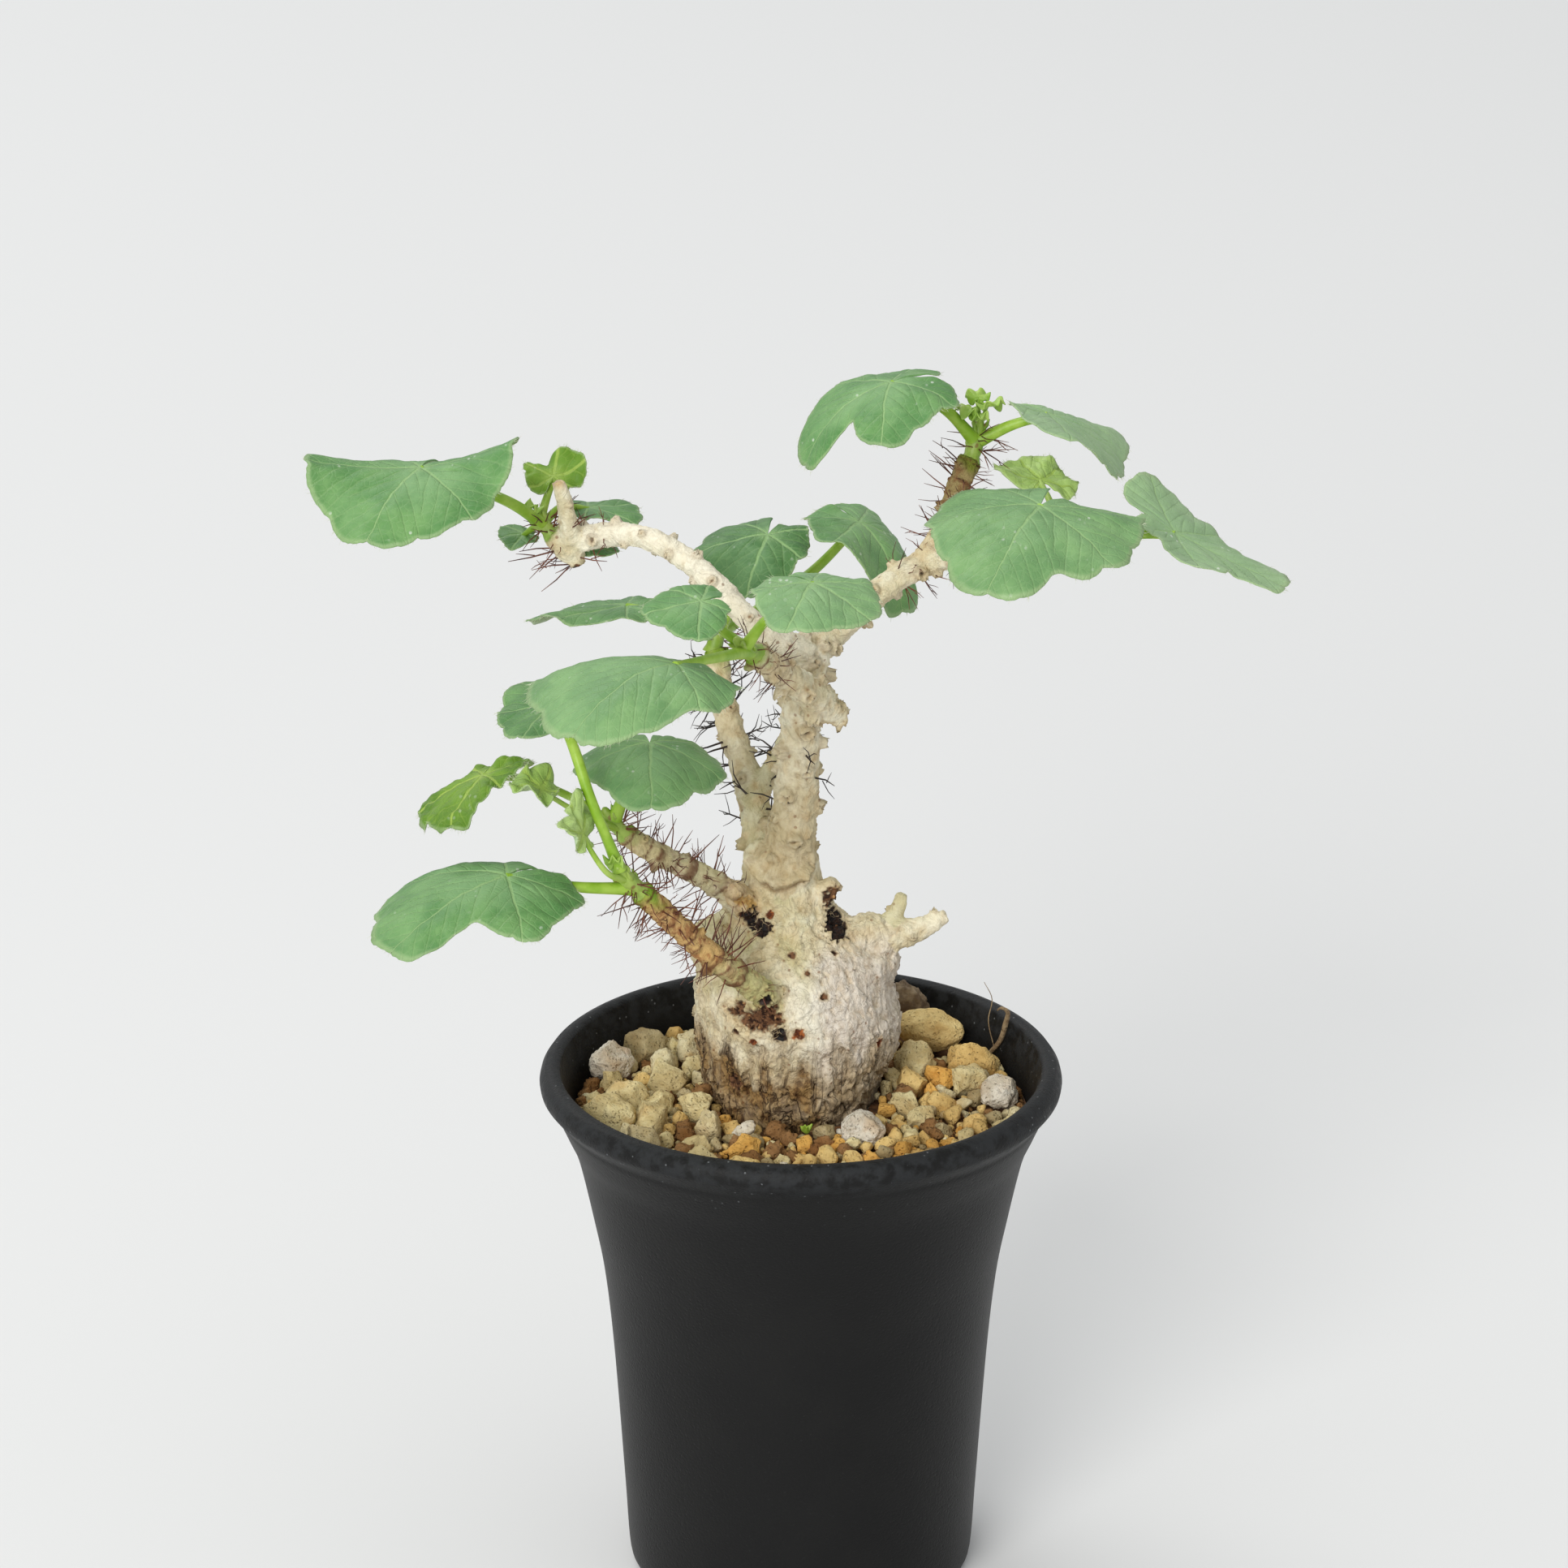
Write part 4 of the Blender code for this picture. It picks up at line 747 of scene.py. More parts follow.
def mineral(name, stops, pits, streak):
    """Rough stone. Each stone's own tint picks its colour among the stops."""
    skin = Skin(name, 0.88, shine=0.2)
    own = skin.steps(skin.attribute("tint"), stops)
    patch = skin.ease(skin.noise(skin.place, 130.0, 1.0), 0.36, 0.62)
    own = skin.mix(patch, skin.tinted(own, (0.74, 0.69, 0.62)), own)
    colour = skin.over(own, skin.tinted(own, streak), skin.mottle(1.6, 0.35, 0.70), 0.5)
    stain = skin.ease(skin.noise(skin.place, 160.0), 0.52, 0.72, 0.0, 0.45)
    colour = skin.mix(stain, colour, skin.tinted(colour, (0.80, 0.55, 0.30)))
    # Pits are sunk into the bump and painted darker: painted shade in them.
    holes = skin.times(skin.ease(skin.noise(skin.place, 1900.0, 2.0, 0.6, 0.5), 0.64, 0.72), pits)
    colour = skin.mix(holes, colour, skin.tinted(colour, (0.40, 0.30, 0.20)))
    skin.bump(skin.minus(skin.grain(0.45, 0.7), holes), 0.42)
    return skin.finish(colour)


def soil():
    """Dark crumbly soil that shows between the stones. Its darkness is partly its own and partly painted
    shade in the gaps.
    """
    skin = Skin("soil", 0.95)
    skin.bump(skin.grain(0.8, 0.5), 0.3)
    return skin.finish(skin.mix(skin.mottle(1.3, 0.3, 0.7), (0.050, 0.022, 0.010), (0.25, 0.115, 0.042)))


def bark():
    """Pale flaking bark. The painted zones say where it is tan, olive, grey, rusty, charred and so on, and
    where shade and a highlight are painted.
    """
    skin = Skin("pale_bark", 0.88, shine=0.22)
    zone = {name: skin.attribute(name) for name in BARK_ZONES}
    upright = skin.squeezed(skin.place, (1, 1, 0.6))
    cloud = skin.mottle(5.0, 0.38, 0.62)
    fine = skin.mottle(1.2, 0.42, 0.70, upright)
    crust = skin.mottle(1.0, 0.42, 0.58)
    rusty = skin.ease(skin.plus(fine, skin.times(cloud, 0.6)), 0.40, 1.3)
    layers = skin.noise(skin.place, 230.0, 5.0, 0.62, 0.7)
    flakes = skin.math("FRACT", skin.times(layers, 8.0))
    wrinkle = skin.crease(skin.noise(upright, 480.0, 3.0, 0.6, 0.9), 0.04)
    wrinkle = skin.times(wrinkle, skin.ease(zone["body"], 0.0, 1.0, 0.2, 1.0))
    tall = skin.squeezed(skin.place, (1, 1, 0.20))
    split = skin.times(skin.crease(skin.noise(tall, 260.0, 3.0, 0.6, 0.8), 0.035), zone["base"])

    colour = skin.mix(cloud, (0.71, 0.63, 0.42), (0.84, 0.785, 0.60))
    colour = skin.over(colour, (0.56, 0.42, 0.23), fine, 0.30)
    # White: the pale bark of the west branch and the trunk, and a painted highlight on the caudex's front.
    colour = skin.over(colour, (0.89, 0.86, 0.74), zone["white"], 0.75)
    colour = skin.over(colour, (0.47, 0.44, 0.20), zone["moss"], 0.70)
    coats = (
        # zone, strength, mottling, and the two colours that it passes between
        ("grey", 0.85, fine, (0.72, 0.645, 0.56), (0.53, 0.44, 0.35)),
        # Tan twig bark, also laid in hollows and at the trunk's foot as painted shade.
        ("twig_tan_and_shade", 0.80, fine, (0.68, 0.54, 0.32), (0.50, 0.34, 0.16)),
        ("tan", 1.0, rusty, (0.56, 0.35, 0.12), (0.33, 0.135, 0.035)),
        ("olive", 1.0, rusty, (0.47, 0.44, 0.17), (0.36, 0.25, 0.09)),
    )
    for name, strength, mottling, one, two in coats:
        colour = skin.over(colour, skin.mix(mottling, one, two), zone[name], strength)
    colour = skin.mix(zone["green"], colour, (0.20, 0.33, 0.03))
    foot = skin.mix(fine, (0.37, 0.23, 0.090), (0.10, 0.045, 0.017))
    colour = skin.over(colour, foot, zone["base"], skin.ease(cloud, 0.0, 1.0, 1.0, 0.8))

    # The low side of each flake's step is painted a little darker: painted shade under the step.
    edge = skin.ease(flakes, 0.35, 0.0)
    colour = skin.over(colour, skin.tinted(colour, (0.58, 0.45, 0.31)), edge, 0.12)
    # Wrinkles and creases are painted darker: painted shade in them.
    crease_shade_lines = skin.math("MAXIMUM", skin.times(wrinkle, 0.14), skin.times(zone["crease_shade"], 0.7))
    colour = skin.mix(crease_shade_lines, colour, skin.tinted(colour, (0.36, 0.25, 0.16)))
    # The splits in the foot's bark are painted near black: painted shade in them.
    colour = skin.over(colour, (0.055, 0.03, 0.016), split, 0.85)
    colour = skin.over(colour, (0.13, 0.042, 0.02), zone["node"], 0.85)

    rust = skin.mix(crust, (0.20, 0.095, 0.045), (0.040, 0.018, 0.011))
    rust = skin.over(rust, (0.52, 0.29, 0.12), skin.speckle(0.9, 0.25), 0.8)
    ember = skin.mix(crust, (0.40, 0.115, 0.03), (0.12, 0.035, 0.015))
    crack = skin.ease(skin.cells(skin.place, 620.0, "DISTANCE_TO_EDGE")["Distance"], 0.045, 0.0)
    char = skin.mix(crust, (0.011, 0.009, 0.009), (0.035, 0.016, 0.010))
    char = skin.over(char, (0.50, 0.38, 0.22), crack, skin.ease(cloud, 0.2, 0.8))
    wounds = (("rust", rust, 0.05, 0.95), ("ember", ember, 0.10, 0.90), ("char", char, 0.20, 0.75))
    for name, wound, low, high in wounds:
        colour = skin.mix(skin.ease(zone[name], low, high), colour, wound)
    colour = skin.over(colour, (0.22, 0.09, 0.035), skin.speckle(1.0, 0.05), 0.6)

    relief = skin.plus(layers, skin.times(flakes, 0.13))
    relief = skin.plus(relief, skin.times(skin.noise(skin.place, 1500.0, 3.0, 0.6), 0.22))
    relief = skin.minus(relief, skin.times(wrinkle, 0.12))
    relief = skin.minus(relief, skin.times(split, 0.45))
    skin.bump(relief, 0.75, 0.85)
    return skin.finish(colour, skin.ease(zone["char"], 0.0, 1.0, 0.88, 0.45))


def two_tone(name, one, two, size):
    """A smooth skin mottled between two colours, for bristles and hairs."""
    skin = Skin(name, 0.5)
    return skin.finish(skin.mix(skin.mottle(size), one, two))


def dry_skin(name, one, two, size):
    """A rough skin mottled between two colours, for small dry pieces."""
    skin = Skin(name, 0.85)
    skin.bump(skin.grain(size * 0.4, 0.4), 0.3)
    return skin.finish(skin.mix(skin.mottle(size), one, two))


def soft_green(name, deep, light, brown):
    """The skin of stalks and buds, browner where bristles stand."""
    skin = Skin(name, 0.45)
    colour = skin.mix(skin.mottle(3.0), deep, light)
    colour = skin.over(colour, (0.20, 0.08, 0.03), skin.speckle(1.4, 0.25), brown)
    skin.bump(skin.noise(skin.squeezed(skin.place, (1, 1, 0.5)), 1100.0), 0.12, 0.5)
    return skin.finish(colour)


class LeafLook(NamedTuple):
    """The colours of one side of a leaf, and how strongly its specks and veins show."""

    deep: tuple
    light: tuple
    vein: tuple
    bloom: tuple
    specks: float
    veins: float
    pale: tuple = (0.52, 0.66, 0.42)  # what a paler leaf turns to


LEAF_LOOKS = {
    "leaf_upper": LeafLook(
        (0.080, 0.225, 0.058), (0.158, 0.330, 0.104), (0.31, 0.49, 0.20), (0.24, 0.41, 0.20), 0.6, 0.62,
    ),
    "leaf_under": LeafLook(
        (0.19, 0.31, 0.10), (0.25, 0.37, 0.14), (0.36, 0.46, 0.18), (0.30, 0.40, 0.22), 0.0, 0.5,
    ),
    "young_upper": LeafLook(
        (0.105, 0.24, 0.012), (0.19, 0.35, 0.028), (0.36, 0.50, 0.09), (0.22, 0.38, 0.05), 0.2, 0.75,
        pale=(0.55, 0.72, 0.27),
    ),
    "young_under": LeafLook(
        (0.40, 0.52, 0.20), (0.50, 0.61, 0.29), (0.56, 0.66, 0.34), (0.48, 0.58, 0.30), 0.0, 0.5,
    ),
}


def leaf_skin(name):
    """A leaf's skin: mottled green with paler veins, a pale bloom, and dried specks."""
    look = LEAF_LOOKS[name]
    skin = Skin(name, 0.5, shine=0.3)
    flat = skin.add("ShaderNodeUVMap", uv_map="flat").outputs[0]
    main, side, net, hub = skin.group("veins", {"Vector": flat})
    shade = skin.attribute("shade")
    share = skin.attribute("share")
    cells = skin.mottle(1.2, 0.30, 0.70)
    haze = skin.mottle(11.0, 0.38, 0.66)

    colour = skin.mix(skin.mottle(7.0), look.deep, look.light)
    colour = skin.mix(shade, colour, skin.tinted(colour, (0.42, 0.52, 0.46)))
    colour = skin.over(colour, look.pale, shade, -1.0)
    colour = skin.over(colour, skin.tinted(colour, (0.62, 0.70, 0.55)), cells, 0.22)
    middle = skin.ease(share, 0.9, 0.1, 0.25, 0.75)
    colour = skin.over(colour, look.bloom, skin.ease(haze, 0.0, 1.0, 0.2, 0.8), middle)
    colour = skin.over(colour, look.vein, net, 0.10)
    colour = skin.over(colour, look.vein, side, 0.16)
    colour = skin.over(colour, look.vein, skin.math("MAXIMUM", main, skin.times(hub, 0.8)), look.veins)
    # A paler band along the edge: partly the yellowish margin, partly a painted highlight on it.
    colour = skin.over(colour, (0.42, 0.54, 0.28), skin.ease(share, 0.945, 0.985), 0.40)
    dried = skin.speckle(0.9, 0.35, skin.squeezed(skin.place, (1, 0.6, 1)))
    dried = skin.times(dried, skin.mottle(6.0, 0.56, 0.70))
    colour = skin.over(colour, (0.72, 0.76, 0.68), dried, look.specks)

    sunk = skin.plus(main, skin.plus(skin.times(side, 0.6), skin.times(net, 0.3)))
    skin.bump(skin.minus(skin.times(cells, 0.25), sunk), 0.16, 0.7)
    return skin.finish(colour, skin.ease(haze, 0.0, 1.0, 0.44, 0.62))


def fade(value, low, high):
    """0 where the value is under low, 1 over high, and even between."""
    return min(1.0, max(0.0, (value - low) / (high - low)))


def linked(mesh, name="shape", collection=None):
    obj = bpy.data.objects.new(name, mesh)
    (collection or bpy.context.scene.collection).objects.link(obj)
    return obj


def to_mesh(obj):
    """The object as its modifiers leave it, as a new mesh. The object is removed."""
    bpy.context.view_layer.update()
    graph = bpy.context.evaluated_depsgraph_get()
    mesh = bpy.data.meshes.new_from_object(obj.evaluated_get(graph))
    bpy.data.objects.remove(obj, do_unlink=True)
    return mesh


def from_bmesh(shape):
    mesh = bpy.data.meshes.new("shape")
    shape.to_mesh(mesh)
    shape.free()
    return mesh


def show(name, mesh, materials, slot, *nodes):
    """Adds a finished piece that rides on the body and stands for these nodes."""
    mesh.name = name
    skins = np.zeros(len(mesh.polygons), int)
    mesh.polygons.foreach_get("material_index", skins)
    mesh.materials.clear()
    for material in materials:
        mesh.materials.append(material)
    mesh.polygons.foreach_set("material_index", skins)
    obj = linked(mesh, name)
    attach(obj, BODY)
    if nodes:
        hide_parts(*nodes)


def helpers(meshes, name):
    """A collection of helper objects, named in order."""
    holder = bpy.data.collections.new(name)
    bpy.context.scene.collection.children.link(holder)
    for index, mesh in enumerate(meshes):
        linked(mesh, f"{name}_{index:02d}", holder)
    return holder


def remove_helpers(holder):
    for obj in list(holder.objects):
        bpy.data.objects.remove(obj, do_unlink=True)
    bpy.data.collections.remove(holder)


def geometry_tree(name, inputs):
    """A geometry tree with these named inputs, its wiring, and its first and last nodes."""
    tree = bpy.data.node_groups.new(name, "GeometryNodeTree")
    tree.interface.new_socket(name="Geometry", in_out="INPUT", socket_type="NodeSocketGeometry")
    for label, kind in inputs.items():
        tree.interface.new_socket(name=label, in_out="INPUT", socket_type=kind)
    tree.interface.new_socket(name="Geometry", in_out="OUTPUT", socket_type="NodeSocketGeometry")
    w = Wiring(tree)
    return w, w.add("NodeGroupInput").outputs, w.add("NodeGroupOutput").inputs


def finish_tree(w, geometry, given, result):
    """Ends a tree: smooth, real geometry with its material."""
    smooth = w.add("GeometryNodeSetShadeSmooth", {"Geometry": geometry}).outputs[0]
    real = w.add("GeometryNodeRealizeInstances", {"Geometry": smooth}).outputs[0]
    inputs = {"Geometry": real, "Material": given["Material"]}
    w.feed(result["Geometry"], w.add("GeometryNodeSetMaterial", inputs).outputs[0])


def stored(w, name, kind="FLOAT"):
    return w.add("GeometryNodeInputNamedAttribute", {"Name": name}, data_type=kind).outputs["Attribute"]


def rod_tree():
    """Round rods along edges, each point as wide as its stored radius."""
    inputs = {"Sides": "NodeSocketInt", "Material": "NodeSocketMaterial"}
    w, given, result = geometry_tree("rods", inputs)
    path = w.add("GeometryNodeMeshToCurve", {"Mesh": given["Geometry"]}).outputs[0]
    ring = w.add("GeometryNodeCurvePrimitiveCircle", {"Resolution": given["Sides"], "Radius": 1.0}).outputs[0]
    inputs = {"Curve": path, "Profile Curve": ring, "Scale": stored(w, "radius"), "Fill Caps": True}
    finish_tree(w, w.add("GeometryNodeCurveToMesh", inputs).outputs[0], given, result)


def scatter_tree():
    """Copies of the shapes on points: each point stores its aim, its size and its tint."""
    inputs = {"Shapes": "NodeSocketCollection", "Count": "NodeSocketInt", "Seed": "NodeSocketInt",
              "Material": "NodeSocketMaterial"}
    w, given, result = geometry_tree("scatter", inputs)
    inputs = {"Collection": given["Shapes"], "Separate Children": True, "Reset Children": True}
    shapes = w.add("GeometryNodeCollectionInfo", inputs).outputs[0]
    pick = w.add("FunctionNodeRandomValue", data_type="INT")
    w.feed(pick.inputs[5], w.minus(given["Count"], 1))
    w.feed(pick.inputs["Seed"], given["Seed"])
    spin = w.add("FunctionNodeRandomValue", {"Seed": given["Seed"]}, data_type="FLOAT")
    spin.inputs[3].default_value = math.tau
    inputs = {"Vector": stored(w, "aim", "FLOAT_VECTOR")}
    aimed = w.add("FunctionNodeAlignRotationToVector", inputs, axis="Z").outputs[0]
    inputs = {"Axis": (0, 0, 1), "Angle": spin.outputs[1]}
    twist = w.add("FunctionNodeAxisAngleToRotation", inputs).outputs[0]
    inputs = {"Rotation": aimed, "Rotate By": twist}
    facing = w.add("FunctionNodeRotateRotation", inputs, rotation_space="LOCAL").outputs[0]
    inputs = {"Points": given["Geometry"], "Instance": shapes, "Pick Instance": True,
              "Instance Index": pick.outputs[2], "Rotation": facing,
              "Scale": stored(w, "size", "FLOAT_VECTOR")}
    finish_tree(w, w.add("GeometryNodeInstanceOnPoints", inputs).outputs[0], given, result)


def run_tree(mesh, name, values):
    """The mesh that a geometry tree makes of this one."""
    tree = bpy.data.node_groups[name]
    obj = linked(mesh)
    step = obj.modifiers.new(name, "NODES")
    step.node_group = tree
    for socket in tree.interface.items_tree:
        if socket.item_type == "SOCKET" and socket.in_out == "INPUT" and socket.name in values:
            step[socket.identifier] = values[socket.name]
    return to_mesh(obj)


def rods(routes, sides, material=None):
    """One mesh of rods through routes of (x, y, z, radius)."""
    spots = [spot for route in routes for spot in route]
    edges = []
    start = 0
    for route in routes:
        edges += [(spot, spot + 1) for spot in range(start, start + len(route) - 1)]
        start += len(route)
    mesh = bpy.data.meshes.new("paths")
    mesh.from_pydata([Vector(spot[:3]) * MM for spot in spots], edges, [])
    radius = mesh.attributes.new("radius", "FLOAT", "POINT")
    radius.data.foreach_set("value", [spot[3] * MM for spot in spots])
    made = run_tree(mesh, "rods", {"Sides": sides, "Material": material})
    if "radius" in made.attributes:
        made.attributes.remove(made.attributes["radius"])
    return made


def hair_rods(routes):
    """Thin three-sided rods through routes in units, not in millimetres."""
    mesh = rods(routes, 3)
    mesh.transform(Matrix.Scale(1 / MM, 4))
    return mesh


def scatter(shapes, points, seed, material):
    """Copies of the shapes, one unit in size, at points of (place, aim, size, tint)."""
    holder = helpers(shapes, "shape")
    mesh = bpy.data.meshes.new("points")
    mesh.from_pydata([Vector(point[0]) * MM for point in points], [], [])
    for name, column, scale in (("aim", 1, 1), ("size", 2, MM)):
        values = mesh.attributes.new(name, "FLOAT_VECTOR", "POINT")
        values.data.foreach_set("vector", [part * scale for point in points for part in point[column]])
    tints = mesh.attributes.new("tint", "FLOAT", "POINT")
    tints.data.foreach_set("value", [point[3] for point in points])
    values = {"Shapes": holder, "Count": len(shapes), "Seed": seed, "Material": material}
    made = run_tree(mesh, "scatter", values)
    remove_helpers(holder)
    for name in ("aim", "size"):
        made.attributes.remove(made.attributes[name])
    return made


def along(route, spacing):
    """Points (x, y, z, radius) on a smooth curve through the route, about this far apart."""
    ends = [Vector(spot) for spot in route]
    ends = [2 * ends[0] - ends[1], *ends, 2 * ends[-1] - ends[-2]]
    found = []
    for a, b, c, d in zip(ends, ends[1:], ends[2:], ends[3:]):
        pieces = max(1, round((c - b).length / spacing))
        for step in range(pieces):
            t = step / pieces
            curve = 2 * b + (c - a) * t + (2 * a - 5 * b + 4 * c - d) * t**2 + (3 * b - a - 3 * c + d) * t**3
            found.append(curve / 2)
    return [*found, ends[-2]]


def at(route, share):
    """The middle, the direction and the radius of a branch at a share of its length."""
    spots = along(route, 1.0)
    index = min(int(share * (len(spots) - 1)), len(spots) - 2)
    ahead = (spots[index + 1].xyz - spots[index].xyz).normalized()
    return spots[index].xyz, ahead, spots[index].w


def sideways(ahead, turn):
    """A unit vector at a right angle to the branch, at this turn round it."""
    first = ahead.orthogonal().normalized()
    return first * math.cos(turn) + ahead.cross(first) * math.sin(turn)


def smooth_profile(profile, spacing=1.5):
    """The profile as a smooth line of points, about this far apart."""
    return [(spot.x, spot.y) for spot in along([(r, z, 0, 0) for r, z in profile], spacing)]


def turned(profile, steps):
    """A closed solid turned round Z from (radius, height) points that run down its outer side."""
    shape = bmesh.new()
    corners = [shape.verts.new(Vector((radius, 0, height)) * MM) for radius, height in profile]
    for one, two in zip(corners, corners[1:]):
        shape.edges.new((one, two))
    obj = linked(from_bmesh(shape))
    screw = obj.modifiers.new("turn", "SCREW")
    screw.steps = screw.render_steps = steps
    screw.use_merge_vertices = True
    screw.merge_threshold = 1e-6
    return to_mesh(obj)


def cut(mesh, cutters):
    """The mesh with the closed cutters taken out of it."""
    holder = helpers(cutters, "cutter")
    obj = linked(mesh)
    step = obj.modifiers.new("cut", "BOOLEAN")
    step.operation = "DIFFERENCE"
    step.operand_type = "COLLECTION"
    step.collection = holder
    step.solver = "MANIFOLD"
    result = to_mesh(obj)
    remove_helpers(holder)
    return result


def drain_hole(turn):
    """A round cutter for the drain hole at this turn round the pot's bottom."""
    shape = bmesh.new()
    middle = Vector((DRAIN_CIRCLE * math.cos(turn), DRAIN_CIRCLE * math.sin(turn), FLOOR / 2)) * MM
    bmesh.ops.create_cone(
        shape, cap_ends=True, segments=DRAIN_SIDES, radius1=DRAIN_RADIUS * MM, radius2=DRAIN_RADIUS * MM,
        depth=3 * FLOOR * MM, matrix=Matrix.Translation(middle),
    )
    return from_bmesh(shape)


def pot():
    """The moulded pot, with its rolled rim, the kink under it and the drain holes."""
    inside = [(0, FLOOR), *smooth_profile((*POT_INSIDE, *POT_LIP))]
    outside = [*reversed(smooth_profile(POT_OUTSIDE)), (0, 0)]
    body = turned([*inside, *outside], POT_SIDES)
    mesh = cut(body, [drain_hole(math.tau * index / DRAIN_HOLES) for index in range(DRAIN_HOLES)])
    mesh.shade_smooth()
    mesh.set_sharp_from_angle(angle=math.radians(SHARP_ANGLE))
    show("fine_pot", mesh, [black_plastic()], "black_plastic", "pot")


def any_aim(draw):
    return Vector((draw.gauss(0, 1), draw.gauss(0, 1), draw.gauss(0, 1))).normalized()


def pebble(seed, level, cuts=12, depth=(0.56, 0.88), rough=0.15, holes=0.0):
    """A broken stone about one unit in radius: a ball with flats knocked off it, then roughened."""
    draw = random.Random(seed)
    flats = [(any_aim(draw), draw.uniform(*depth)) for _ in range(cuts)]
    shift = Vector((seed * 3.7, seed * 1.9, 0))
    shape = bmesh.new()
    bmesh.ops.create_icosphere(shape, subdivisions=level, radius=1)
    for corner in shape.verts:
        spot = corner.co.copy()
        for aim, reach in flats:
            spot -= aim * max(0.0, spot.dot(aim) - reach) * 0.96
        push = sum(share * rough * noise.noise(spot * scale + shift) for scale, share in STONE_RELIEF)
        if holes:
            near = noise.voronoi(spot * 4.2 + shift)[0][0]
            push -= holes * math.exp(-((near / 0.22) ** 2))
        corner.co = spot * (1 + push)
    for face in shape.faces:
        face.smooth = True
    return from_bmesh(shape)


def inside_radius(height):
    """The pot's inner radius at a height."""
    for (low_radius, low), (high_radius, high) in zip(POT_INSIDE, POT_INSIDE[1:]):
        if height <= high:
            return low_radius + (high_radius - low_radius) * (height - low) / (high - low)
    return POT_INSIDE[-1][0]


def any_place(draw, nearest, farthest):
    """A place drawn evenly between two circles round the pot's axis."""
    turn = draw.uniform(0, math.tau)
    distance = math.sqrt(draw.uniform(nearest**2, farthest**2))
    return distance * math.cos(turn), distance * math.sin(turn)


def off_caudex(x, y):
    """How far a place lies from the caudex's middle."""
    return math.hypot(x - CAUDEX_MIDDLE[0], y - CAUDEX_MIDDLE[1])


def stone_places():
    """(x, y, z, radius) of the large stones, by the same draws as the solid's."""
    draw = random.Random(STONE_SEED)
    taken = [(stone.middle[0], stone.middle[1], 0, max(stone.halves[:2])) for stone in LOOSE_STONES.values()]
    loose = len(taken)
    for smallest, largest, tries, where in STONE_SIZES:
        for _ in range(tries):
            radius = draw.uniform(smallest, largest)
            reach = inside_radius(BED_TOP) - GAP - radius - 0.4
            x, y = any_place(draw, CAUDEX_CLEAR, reach + 2)
            behind = x < -6 or y > 6
            if (where == "back" and not behind) or (where == "front" and behind and draw.random() < 0.7):
                continue
            if math.hypot(x, y) > reach or off_caudex(x, y) < CAUDEX_CLEAR - 1 + 0.5 * radius:
                continue
            if any(math.hypot(x - a, y - b) < 0.82 * (radius + c) for a, b, _, c in taken):
                continue
            rise = 0.9 if behind else 0.0
            taken.append((x, y, BED_TOP + 0.35 * radius + rise, radius))
    return taken[loose : loose + MOST_STONES]


def stone_tint(draw, x, y, small):
    """A stone's tint by where it lies: cream at the left and back, tan, orange and brown in front."""
    if x < -14 or (y > 8 and x < 0):
        shares = {"cream": 9, "pale": 5, "tan": 2, "grey": 1, "brown": 5 * small}
    elif x > 12 and y > -16:
        shares = {"cream": 6, "tan": 7, "pale": 3, "grey": 2, "brown": 5 * small, "orange": 2}
    else:
        shares = {"tan": 6, "orange": 5, "brown": 6 * small, "grey": 2, "cream": 3, "white": 1}
    return STONE_KINDS[draw.choices(list(shares), list(shares.values()))[0]]


def any_size(draw, radius, *limits):
    """A stone's three half sizes, each drawn between two shares of its radius."""
    return [radius * draw.uniform(low, high) for low, high in limits]


def gravel_bed(top):
    """The bed of soil under the stones, uneven on top and hollowed out for the caudex."""
    sides = [(radius - GAP, height) for radius, height in POT_INSIDE[1:] if height < BED_TOP]
    low = FLOOR + GAP
    flat = [(top * ring / BED_RINGS, BED_TOP) for ring in range(BED_RINGS + 1)]
    bed = turned([*flat, *reversed(sides), (POT_INSIDE[0][0] - GAP, low), (0, low)], BED_SIDES)
    for corner in bed.vertices:
        if corner.co.z > (BED_TOP - 0.1) * MM:
            spot = corner.co / MM
            corner.co.z -= (1.2 + 0.7 * noise.noise(spot * 0.8) + 0.4 * noise.noise(spot * 2.1)) * MM
    bed = cut(bed, [caudex(GAP)])
    bed.shade_smooth()
    show("gravel_bed", bed, [soil()], "gravel", "gravel")


def foot_radius(x, y):
    """The caudex's radius in the gravel, on the side where this place lies."""
    compass = math.degrees(math.atan2(y - CAUDEX_MIDDLE[1], x - CAUDEX_MIDDLE[0]))
    off = (compass - FOOT_LUMP.compass) / FOOT_LUMP.spread
    return caudex_radius(BED_TOP + 1) + FOOT_LUMP.out * math.exp(-(off**2))


def filler_places(draw, smallest, largest, tries, top, taken):
    """Fillers (x, y, radius) that lie clear of the caudex, of the stones there and of one another."""
    mine = []
    for _ in range(tries):
        radius = draw.uniform(smallest, largest)
        x, y = any_place(draw, FILLER_CLEAR, top - radius)
        if off_caudex(x, y) < foot_radius(x, y) + 0.35 * radius:
            continue
        if any(math.hypot(x - a, y - b) < 0.80 * c + 0.5 * radius for a, b, c in taken):
            continue
        if any(math.hypot(x - a, y - b) < 0.86 * (radius + c) for a, b, c in mine):
            continue
        mine.append((x, y, radius))
        yield x, y, radius


